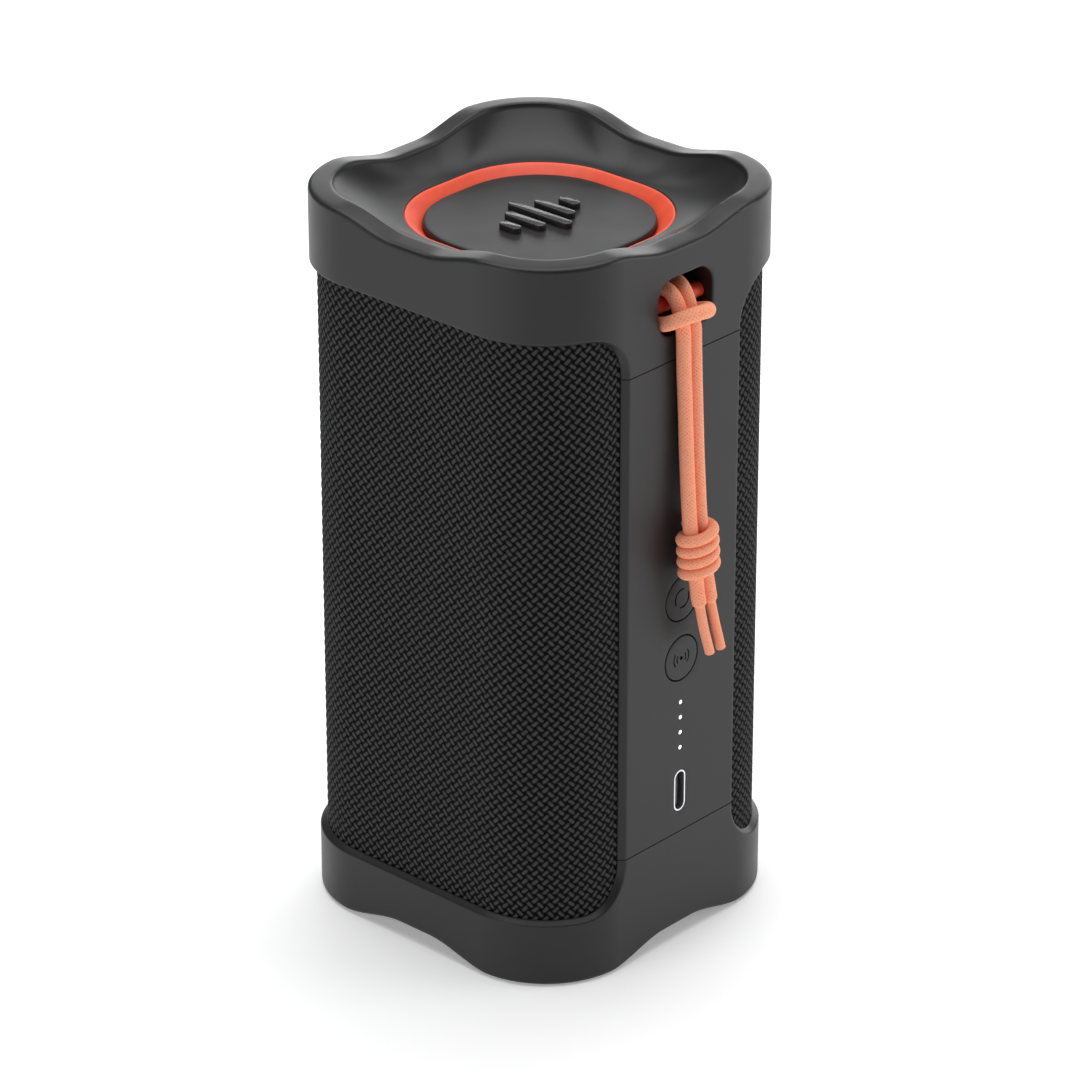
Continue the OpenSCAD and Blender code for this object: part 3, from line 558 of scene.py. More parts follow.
@dataclass(frozen=True)
class MouldedPolymer(Finish):
    """Injection moulded ABS and polycarbonate from a spark-eroded tool, with a fine even grain."""

    deep: str = "#202021"
    grain_mm: float = 0.22
    grain_depth_mm: float = 0.012
    cloud_mm: float = 9.0
    specular: float = 0.32

    def dress(self, paint: Paint) -> None:
        """Fine grain in the relief, a slow drift in colour and gloss."""
        place = paint.millimetres()
        cloud = paint.noise(place, 1 / self.cloud_mm, 3.0)
        grain = paint.noise(place, 1 / self.grain_mm, 2.0)
        tone = paint.calc("MULTIPLY_ADD", grain, 0.35, cloud)
        paint.tint(tone, (0.35, self.deep), (0.95, self.colour))
        paint.gloss(cloud, self.roughness - 0.03, self.roughness + 0.04, (0.3, 0.7))
        paint.relief(grain, 0.35, self.grain_depth_mm)
        paint.constants({"Specular IOR Level": self.specular})


@dataclass(frozen=True)
class CastSilicone(Finish):
    """Compression moulded silicone rubber: satin, with a warm glow from light that it lets in."""

    deep: str = "#ef5233"
    glow: float = 0.12

    def dress(self, paint: Paint) -> None:
        """Dust-soft mottling, faint pores and light that spreads under the skin."""
        place = paint.millimetres()
        paint.tint(paint.noise(place, 0.25, 4.0), (0.3, self.deep), (0.7, self.colour))
        paint.relief(paint.noise(place, 3.0, 2.0), 0.25, 0.01)
        paint.scatter(self.glow, (1.0, 0.35, 0.2), 0.6)


# Height of a plain weave, the same in the materials and in the meshes: 1 is the top of a thread.
WEAVE_MIDDLE = 0.38
WEAVE_SWING = 0.27
WEAVE_DOME = 0.35
WEAVE_DWELL = 1.8
WEAVE_MEAN = 0.7


def plain_weave(paint: Paint, place: Socket, half_thread: float) -> tuple[Socket, Socket]:
    """Height of a plain weave: two sets of round threads that pass over and under each other.

    Args:
        paint: Tree that the nodes go in.
        place: Vector whose x and y count threads of the two sets.
        half_thread: Half a thread's width as a share of the spacing.

    Returns:
        Socket with 0 in the gaps, up to 1 on top of a thread, and socket with 1 where the second
        set is on top.
    """
    calc = paint.calc
    axes = paint.add_node("ShaderNodeSeparateXYZ", links={0: place}).outputs
    threads = []
    for along, across, way in ((axes[0], axes[1], 1.0), (axes[1], axes[0], -1.0)):
        row = calc("FLOOR", across)
        off = calc("DIVIDE", calc("SUBTRACT", calc("FRACT", across), 0.5), half_thread)
        dome = calc("SUBTRACT", 1.0, calc("MULTIPLY", off, off))
        there = calc("GREATER_THAN", dome, 0.0)
        dome = calc("SQRT", calc("MAXIMUM", dome, 0.0))
        swing = calc("SINE", calc("MULTIPLY", calc("ADD", along, row), math.pi))
        swing = calc("MINIMUM", calc("MULTIPLY", swing, WEAVE_DWELL), 1.0)
        swing = calc("MAXIMUM", swing, -1.0)
        height = calc("MULTIPLY_ADD", swing, WEAVE_SWING * way, WEAVE_MIDDLE)
        height = calc("MULTIPLY_ADD", dome, WEAVE_DOME, height)
        threads.append(calc("MULTIPLY", height, there))
    return calc("MAXIMUM", *threads), calc("GREATER_THAN", threads[1], threads[0])


def yarn_streaks(paint: Paint, place: Socket, second: Socket, fineness: float) -> Socket:
    """Fine streaks that run along whichever thread lies on top.

    Args:
        paint: Tree that the nodes go in.
        place: Vector whose x and y count threads of the two sets.
        second: 1 where the second set is on top.
        fineness: Streaks across the spacing of the threads.

    Returns:
        Socket with the streaks, about 0.5 on average.
    """
    layers = []
    for scale in ((fineness / 7, fineness, 1), (fineness, fineness / 7, 1)):
        spot = paint.add_node("ShaderNodeMapping", {"Scale": scale}, {"Vector": place})
        layers.append(paint.noise(spot.outputs["Vector"], 1.0, 2.0))
    links = {0: second, 2: layers[0], 3: layers[1]}
    return paint.add_node("ShaderNodeMix", links=links).outputs[0]


def weave_height(u: np.ndarray, v: np.ndarray, half_thread: float) -> np.ndarray:
    """The same height as plain_weave gives, for points of a mesh."""
    heights = []
    for along, across, way in ((u, v, 1.0), (v, u, -1.0)):
        off = (across - np.floor(across) - 0.5) / half_thread
        dome = np.sqrt(np.clip(1 - off * off, 0, None))
        swing = np.clip(WEAVE_DWELL * np.sin(math.pi * (along + np.floor(across))), -1, 1)
        height = WEAVE_MIDDLE + WEAVE_SWING * way * swing + WEAVE_DOME * dome
        heights.append(np.where(np.abs(off) < 1, height, 0))
    return np.maximum(*heights)


@dataclass(frozen=True)
class WovenPolyester(Finish):
    """Open plain weave of coated polyester yarn, on the bias: dull grey dashes, with painted shade
    that darkens each thread where it dips and paints the gaps black.
    """

    # Painted shade: the near black that fills the gaps between the threads.
    gap: str = "#030303"
    half_thread: float = 0.26

    def dress(self, paint: Paint) -> None:
        """Thread heights drive the relief and a painted shade in the colour, darker where a thread
        dips and black in the gaps; fine fibres break up the threads.
        """
        place = paint.mark("weave")
        height, second = plain_weave(paint, place, self.half_thread)
        fibres = yarn_streaks(paint, place, second, 8.0)
        # Painted shade: the lower a thread lies, the darker its colour, down to black in the gaps;
        # fibre streaks ride on top.
        shade_and_fibres = paint.calc("ADD", height, paint.calc("MULTIPLY_ADD", fibres, 0.9, -0.45))
        dim, pale = (0.56, "#090909"), (0.74, "#2a2a2b")
        paint.tint(shade_and_fibres, (0.4, self.gap), dim, pale, (0.98, self.colour))
        paint.constants({"Specular IOR Level": 0.08})
        paint.relief(shade_and_fibres, 0.6, 0.15)


@dataclass(frozen=True)
class BraidedPolyester(Finish):
    """Braided polyester cord: bright dull yarn, with a painted highlight that turns proud loops
    pale and painted shade in the dips.
    """

    # Colour of the dips, a painted shade, and of the darker fibre flecks.
    deep: str = "#e14d31"
    # Colour of the proud loops, a painted highlight, and of the palest fibre flecks.
    pale: str = "#ffaf8c"
    half_thread: float = 0.46

    def dress(self, paint: Paint) -> None:
        """Crossing yarns whose height paints a highlight on proud loops and shade in the dips, pale
        flecks of single fibres and a soft sheen at the edges.
        """
        place = paint.mark("braid")
        height, _ = plain_weave(paint, place, self.half_thread)
        flecks = paint.noise(place, 1.7, 4.0, Roughness=0.75)
        # Painted highlight and shade: the braid's height lightens proud loops and darkens the dips,
        # mixed with real fibre flecks.
        mixed = paint.calc("MULTIPLY_ADD", height, 0.45, flecks)
        paint.tint(mixed, (0.54, self.deep), (0.72, self.colour), (0.86, self.pale))
        paint.relief(mixed, 0.7, 0.1)
        paint.constants({"Sheen Weight": 0.03, "Specular IOR Level": 0.15})
        paint.scatter(0.08, (1.0, 0.4, 0.25), 0.5)


@dataclass(frozen=True)
class PlatedSteel(Finish):
    """Zinc or nickel plated steel, stamped or turned: bright, with fine drawn lines one way."""

    dull: str = "#8d9094"

    def dress(self, paint: Paint) -> None:
        """Drawn lines change the tone and the gloss together."""
        lines = paint.noise(paint.millimetres((1.0, 1.0, 12.0)), 1 / 1.2, 5.0)
        paint.tint(lines, (0.3, self.dull), (0.7, self.colour))
        paint.gloss(lines, self.roughness - 0.08, self.roughness + 0.12)


@dataclass(frozen=True)
class PressedFibre(Finish):
    """Pressed paper pulp or phenolic cloth: matt, with short fibres lying every way."""

    deep: str = "#101011"
    fibre_mm: float = 0.5

    def dress(self, paint: Paint) -> None:
        """Felted fibres in colour and relief."""
        place = paint.millimetres()
        felt = paint.noise(place, 1 / self.fibre_mm, 6.0, Roughness=0.7, Distortion=1.5)
        paint.tint(felt, (0.35, self.deep), (0.7, self.colour))
        paint.relief(felt, 0.5, 0.05)


@dataclass(frozen=True)
class WoundOrPrinted(Finish):
    """Enamelled wire, shrunk film or lacquered glass laminate: glossy, with even ruled bands."""

    deep: str = "#101011"
    pitch_mm: float = 0.4
    direction: str = "Z"
    warp: float = 0.0

    def dress(self, paint: Paint) -> None:
        """Ruled bands in colour and relief."""
        settings = {
            "bands_direction": self.direction,
            "Scale": 0.5 / self.pitch_mm,
            "Distortion": self.warp,
            "Detail": 1.0,
        }
        links = {"Vector": paint.millimetres()}
        bands = paint.add_node("ShaderNodeTexWave", settings, links).outputs["Fac"]
        paint.tint(bands, (0.2, self.deep), (0.8, self.colour))
        paint.relief(bands, 0.3, 0.03)


@dataclass(frozen=True)
class OpalAcrylic(Finish):
    """Cast opal acrylic over lamps, as on a product table: white without shadows."""

    glow: float = 0.25

    def dress(self, paint: Paint) -> None:
        """A slow cloud in the white, and the light from below."""
        cloud = paint.noise(paint.millimetres(), 0.004, 1.0)
        paint.lit(cloud, self.glow, (0.2, "#f8f8f9"), (0.8, self.colour))


@dataclass(frozen=True)
class LitLens(Finish):
    """Frosted polycarbonate light guide over white diodes: an even white glow, cooler in spots."""

    strength: float = 1.4

    def dress(self, paint: Paint) -> None:
        """A frosted glow that a faint cloud keeps from being flat."""
        frost = paint.noise(paint.millimetres(), 2.0, 2.0)
        paint.lit(frost, self.strength, (0.3, "#e8eef2"), (0.7, self.colour))


CAP = MouldedPolymer("cap_moulded_abs", "#252526", 0.4, deep="#1f1f20")
SPINE = MouldedPolymer("spine_moulded_abs", "#29292a", 0.46, deep="#222223")
PLATE = MouldedPolymer("radiator_disc_moulded_abs", "#29292a", 0.42, deep="#222223")
BADGE = MouldedPolymer(
    "badge_satin_lacquer", "#343435", 0.26, deep="#2c2c2d", grain_depth_mm=0.004, specular=0.5
)
BUTTON = MouldedPolymer("button_moulded_abs", "#29292a", 0.46, deep="#222223")
CORAL_RING = CastSilicone("ring_coral_silicone", "#fd5c3a", 0.5)
CORAL_BAR = MouldedPolymer("bar_coral_nylon", "#f4553a", 0.45, deep="#d8452c")
SLEEVE = WovenPolyester("sleeve_woven_polyester", "#434344", 0.75)
CORD = BraidedPolyester("lanyard_braided_polyester", "#ff6c48", 0.85)

INNER_FINISHES: dict[str, Finish] = {
    "core_polymer": MouldedPolymer(
        "core_glass_filled_nylon", "#1c1c1d", 0.55, deep="#121213", grain_mm=0.4
    ),
    "gasket_rubber": CastSilicone("gasket_foamed_rubber", "#29292b", 0.8, deep="#1a1a1b", glow=0.0),
    "screw_steel": PlatedSteel("screw_black_zinc", "#4c4d50", 0.38, metallic=1.0, dull="#333437"),
    "plug_rubber": CastSilicone("plug_moulded_rubber", "#2b2b2c", 0.7, deep="#202021", glow=0.0),
    "bar_polymer": CORAL_BAR,
    "frame_polymer": MouldedPolymer("frame_moulded_abs", "#2c2c2e", 0.5, deep="#212122"),
    "magnet_steel": PlatedSteel("magnet_zinc_plate", "#a9abae", 0.35, metallic=1.0),
    "roll_rubber": CastSilicone("roll_butyl_rubber", "#1d1d1e", 0.55, deep="#141415", glow=0.0),
    "spider_textile": PressedFibre("spider_phenolic_cloth", "#a8793f", 0.85, deep="#7d5426"),
    "cone_paper": PressedFibre("cone_pressed_pulp", "#2a2a2b", 0.9, deep="#161617"),
    "coil_copper": WoundOrPrinted(
        "coil_enamelled_copper", "#c8753c", 0.3, metallic=1.0, deep="#8a4a20", direction="X"
    ),
    "cell_wrap": WoundOrPrinted(
        "cell_shrunk_film", "#2f6fb0", 0.28, deep="#2a66a5", pitch_mm=6.0, warp=0.4
    ),
    "board_laminate": WoundOrPrinted(
        "board_glass_laminate", "#24683f", 0.35, deep="#184c2d", pitch_mm=1.2, warp=2.0
    ),
    "component_resin": MouldedPolymer("component_moulded_epoxy", "#1f1f21", 0.6, deep="#141415"),
    "can_steel": PlatedSteel("can_tin_plate", "#b9bbbe", 0.3, metallic=1.0),
    "light_lens": LitLens("lens_frosted_polycarbonate", "#ffffff", 0.4, 1.58),
    "usb_steel": PlatedSteel("socket_nickel_plate", "#f6f6f7", 0.3, metallic=1.0, dull="#dfe0e2"),
    "tongue_polymer": MouldedPolymer("tongue_moulded_polyamide", "#4a4a4b", 0.5, deep="#3c3c3d"),
    "plunger_polymer": MouldedPolymer("plunger_moulded_acetal", "#d8d8d4", 0.4, deep="#c8c8c4"),
    "lead_pvc": MouldedPolymer("lead_extruded_vinyl", "#b3261e", 0.4, deep="#98201a"),
}


# ---- Camera, lights and floor ----


@dataclass
class Studio:
    """Pale floor, soft boxes on both sides and above, and a long lens."""

    target: Point = (0.0, 0.0, 0.076)
    azimuth: float = -47.64
    elevation: float = 26.0
    distance: float = 1.02966
    lens: float = 173.62
    floor_half: float = 3.0
    sweep_from: float = 1.8
    sweep_rise: float = 40.0
    ambient: float = 0.12
    boxes: Sequence[tuple[str, Point, Pair, float]] = (
        ("left_box", (-0.98, 0.16, 0.3), (0.6, 0.8), 3.4),
        ("right_box", (0.75, -0.85, 0.3), (0.6, 0.8), 5.0),
        ("rear_box", (1.05, 0.6, 0.34), (1.1, 0.6), 6.0),
        ("top_box", (0.2, 0.2, 1.5), (1.6, 1.6), 24.0),
    )

    def stand(self, data: bpy.types.Camera | bpy.types.Light, place: Vector) -> bpy.types.Object:
        """Stands a camera or a light at a place, turned to the object."""
        made = bpy.data.objects.new(data.name, data)
        bpy.context.scene.collection.objects.link(made)
        made.location = place
        made.rotation_euler = (Vector(self.target) - place).to_track_quat("-Z", "Y").to_euler()
        return made

    def camera(self) -> None:
        """Stands the camera."""
        data = bpy.data.cameras.new("camera")
        data.lens, data.sensor_width = self.lens, 36.0
        data.clip_start, data.clip_end = 0.05, 20.0
        turn, rise = math.radians(self.azimuth), math.radians(self.elevation)
        level = math.cos(rise)
        way = Vector((math.sin(turn) * level, -math.cos(turn) * level, math.sin(rise)))
        place = Vector(self.target) + way * self.distance
        bpy.context.scene.camera = self.stand(data, place)

    def soft_box(self, name: str, place: Point, size: Pair, power: float) -> None:
        """Hangs one soft box that faces the object.

        Args:
            name: Name of the light.
            place: Its middle, in metres.
            size: Width and height, in metres.
            power: Watts.
        """
        data = bpy.data.lights.new(name, "AREA")
        data.shape, data.size, data.size_y = "RECTANGLE", size[0], size[1]
        data.energy = power
        self.stand(data, Vector(place))

    def floor(self) -> None:
        """Lays a pale sweep of opal acrylic, lit from below."""
        skin = Skin()
        lines = np.linspace(-self.floor_half, self.floor_half, 25) / MM
        x, y = np.meshgrid(lines, lines)
        far = np.clip(np.hypot(x, y) * MM - self.sweep_from, 0, None)
        skin.grid(skin.add(np.stack([x, y, self.sweep_rise * far * far - 0.05], -1)))
        table = skin.piece("floor", outward=False)
        table.data.materials.append(OpalAcrylic("floor_opal_acrylic", "#fdfdfd", 0.8).material())

    def build(self) -> None:
        """Sets up everything round the object."""
        self.camera()
        self.floor()
        for box in self.boxes:
            self.soft_box(*box)
        world = bpy.data.worlds.new("studio")
        bpy.context.scene.world = world
        world.use_nodes = True
        ground = world.node_tree.nodes["Background"]
        ground.inputs["Color"].default_value = linear("#f2f3f5")
        ground.inputs["Strength"].default_value = self.ambient
        bpy.context.scene.view_settings.view_transform = "Standard"


# ---- Lanyard ----


@dataclass
class Lanyard:
    """One braided cord: tip, tail, knot, hitch round the bar, knot, tail, tip."""

    loop: Sequence[Point] = (
        (-2, -40.8, 92), (-2, -40.4, 95.5), (-1.9, -39.9, 101), (-1.8, -39.4, 107),
        (-1.8, -39.1, 113),
        (-1.9, -38.9, 119), (-2.2, -38.8, 125), (-2.4, -38.8, 130), (-2.5, -38.7, 133.5),
        (-2.5, -37.8, 137),
        (-2.5, -36.9, 138.9), (-2.6, -35.4, 140.4), (-2.9, -33.6, 140.8), (-3.5, -31.8, 140.1),
        (-4.1, -30.7, 138.4), (-4.7, -30.6, 136.3), (-5, -31.6, 134.8), (-5.1, -33.5, 134.3),
        (-5.3, -35.6, 134.7), (-5.5, -37.6, 135.5), (-5.2, -39.4, 136.5), (-4, -40.7, 137.2),
        (-2.2, -41.3, 137.4), (-0.4, -41.4, 137.3), (1.4, -41.1, 136.9), (3, -40.2, 136.4),
        (4.1, -38.8, 135.8),
        (4.5, -37, 135.1), (4.5, -35.2, 134.5), (4.3, -33.5, 134.3), (4.1, -31.6, 134.8),
        (3.8, -30.6, 136.4),
        (3.2, -30.7, 138.5), (2.3, -31.9, 140.2), (1.5, -33.7, 140.8), (0.9, -35.5, 140.3),
        (0.6, -36.9, 138.8), (0.5, -37.8, 136.9), (0.6, -38.7, 133.5), (0.7, -38.8, 130),
        (0.9, -38.8, 125),
        (1.1, -38.9, 119), (1.2, -39.1, 113), (1.2, -39.4, 107), (1.1, -39.9, 101),
        (1, -40.4, 95.5), (1, -40.8, 92),
    )
    left_end: Sequence[Point] = (
        (1.95, -42.75, 65.1), (0.4, -42.4, 71), (-0.5, -42.2, 75.4), (-1, -42, 78.5),
        (-1.3, -41.8, 81.8), (-1.6, -41.4, 87),
    )
    right_end: Sequence[Point] = (
        (1.5, -41.5, 86), (1.7, -41.8, 81.8), (2.2, -42, 78.5), (2.7, -42.2, 75.4),
        (3.7, -42.4, 71), (5.2, -42.75, 65.0),
    )
    cord_radius: float = 1.45
    tip_radius: float = 0.98
    wrap_radius: float = 1.14
    hidden_radius: float = 1.0
    knot_bottom: Point = (0.1, -41.45, 81.4)
    knot_top: Point = (-0.5, -41.1, 92.4)
    wrap_half: Pair = (3.75, 2.5)
    wraps: int = 4
    wrap_pitch: float = 2.34
    wrap_start: float = 83.0
    sleeve_end: float = 76.8
    sides: int = 24
    step: float = 0.25
    yarns: int = 10
    yarn_pitch: float = 0.75
    relief: float = 0.05
    # Hidden parts of the route: down through the knot to its first wrap, and out after the last.
    inside: Sequence[Point] = ((1, -41.0, 89), (0.9, -41.1, 85.5), (0.6, -40.2, 83))
    out: Sequence[Point] = ((0.3, -40.6, 91.2), (1.2, -41.3, 89.4))
    hidden_from: float = 83.5
    shoulder: float = 0.7
    # A cut end: how wide its flat part is, and how far its edge and its middle stand out.
    end_share: float = 0.93
    end_rise: Pair = (0.04, 0.05)

    def wrap_points(self) -> np.ndarray:
        """Middle line of the turns round both strands, upward, from the back to the back."""
        turns = np.linspace(0, self.wraps, self.wraps * 20 + 1)
        angle = QUARTER + 2 * math.pi * turns
        z = self.wrap_start + self.wrap_pitch * turns
        low, high = np.array(self.knot_bottom), np.array(self.knot_top)
        share = ((z - low[2]) / (high[2] - low[2]))[:, None]
        middle = low * (1 - share) + high * share
        x = middle[:, 0] + self.wrap_half[0] * np.cos(angle)
        y = middle[:, 1] + self.wrap_half[1] * np.sin(angle)
        return np.stack([x, y, z], -1)

    def route(self) -> tuple[np.ndarray, np.ndarray]:
        """Close points along the whole cord, and the radius at each."""
        parts = [
            (self.left_end, None),
            (self.loop, self.cord_radius),
            (self.inside, self.hidden_radius),
            (self.wrap_points(), self.wrap_radius),
            (self.out, self.hidden_radius),
            (self.right_end, None),
        ]
        points, radii = [], []
        for part, radius in parts:
            for point in np.asarray(part, float):
                points.append(point)
                end_radius = self.cord_radius
                if point[2] > self.hidden_from:
                    end_radius = self.hidden_radius + 0.1
                radii.append(end_radius if radius is None else radius)
        line, passed = smooth_line(np.array(points), self.step)
        radius = np.interp(passed, np.arange(len(points)), radii)
        return line, self.stepped(line, radius)

    def stepped(self, line: np.ndarray, radius: np.ndarray) -> np.ndarray:
        """Thins the radius past the sewn ends of the braid, with a rounded step."""
        low = line[:, 2] < self.knot_bottom[2]
        past = np.clip((self.sleeve_end - line[:, 2]) / self.shoulder, 0, 1)
        shoulder = self.tip_radius + (radius - self.tip_radius) * np.sqrt(1 - past * past)
        return np.where(low, shoulder, radius)

    def build(self) -> None:
        line, radius = self.route()
        gone = travelled(line)
        angles = circle(self.sides)
        around = angles[None, :] / (2 * math.pi) * self.yarns
        first = around + gone[:, None] / self.yarn_pitch
        second = around - gone[:, None] / self.yarn_pitch
        relief = self.relief * (weave_height(first, second, CORD.half_thread) - WEAVE_MEAN)
        side, up = steady_frames(line)
        ways = side[:, None] * np.cos(angles)[:, None] + up[:, None] * np.sin(angles)[:, None]
        rings = line[:, None] + (radius[:, None] + relief)[..., None] * ways
        skin = Skin()
        ids = skin.add(rings)
        skin.grid(ids, round_columns=True)
        marks = [np.stack([first, second, np.zeros_like(first)], -1).reshape(-1, 3)]
        for end in (0, -1):
            outward = line[end] - line[1 if end == 0 else -2]
            outward /= np.linalg.norm(outward)
            inner = line[end] + (
                rings[end] - line[end]
            ) * self.end_share + outward * self.end_rise[0]
            ring = skin.add(inner)
            skin.chain([ids[end], ring])
            skin.fan(ring, line[end] + outward * self.end_rise[1])
            marks += [np.zeros((self.sides + 1, 3))]
        cord = skin.piece("lanyard_cord", marks={"braid": np.concatenate(marks)})
        put_on(
            cord, ENCLOSURE, "cord_textile", CORD, "lanyard_loop", "lanyard_knot", "lanyard_tails"
        )


def smooth_line(control: np.ndarray, step: float) -> tuple[np.ndarray, np.ndarray]:
    """Runs a smooth curve through points.

    Args:
        control: The points, in order.
        step: Distance between the points that come back.

    Returns:
        Points along the curve, and how many control points each has passed.
    """
    gap = np.sqrt(np.maximum(np.linalg.norm(np.diff(control, axis=0), axis=1), 1e-6))
    knots = np.concatenate([[0], np.cumsum(gap)])
    slope = np.gradient(control, knots, axis=0)
    fine, share = [], []
    for i in range(len(control) - 1):
        t = np.linspace(0, 1, 24, endpoint=False)[:, None]
        here = (2 * t**3 - 3 * t**2 + 1) * control[i] + (t**3 - 2 * t**2 + t) * gap[i] * slope[i]
        after = (3 * t**2 - 2 * t**3) * control[i + 1] + (t**3 - t**2) * gap[i] * slope[i + 1]
        fine.append(here + after)
        share.append(i + t[:, 0])
    line = np.concatenate(fine + [control[-1:]])
    passed = np.concatenate(share + [np.array([len(control) - 1.0])])
    gone = travelled(line)
    at = np.linspace(0, gone[-1], max(2, int(gone[-1] / step)))
    spots = np.stack([np.interp(at, gone, line[:, k]) for k in range(3)], -1)
    return spots, np.interp(at, gone, passed)


def steady_frames(line: np.ndarray) -> tuple[np.ndarray, np.ndarray]:
    """Two directions square to a line at each point, that turn as little as they can."""
    ways = np.gradient(line, axis=0)
    ways /= np.linalg.norm(ways, axis=1)[:, None]
    side = np.cross(ways[0], [0.3, 1.0, 0.2])
    sides = []
    for way in ways:
        side = side - way * float(side @ way)
        side /= np.linalg.norm(side)
        sides.append(side)
    side = np.array(sides)
    return side, np.cross(ways, side)


# ---- Caps ----

# How an edge beside the sleeve, and an edge at a seam, is cut back at each depth below the skin.
EDGE_DEPTHS = (1.42, 1.3, 1.15, 0.9, 0.6, 0.3, 0.12, 0.04, 0.0, 0.0)
LIP_CUTS = (0.0, 0.0, 0.06, 0.26, 0.5, 0.74, 0.9, 1.02, 1.2, 1.6)
SEAM_CUTS = (0.0, 0.0, 0.0, 0.0, 0.0, 0.0, 0.0, 0.01, 0.03, 0.12)


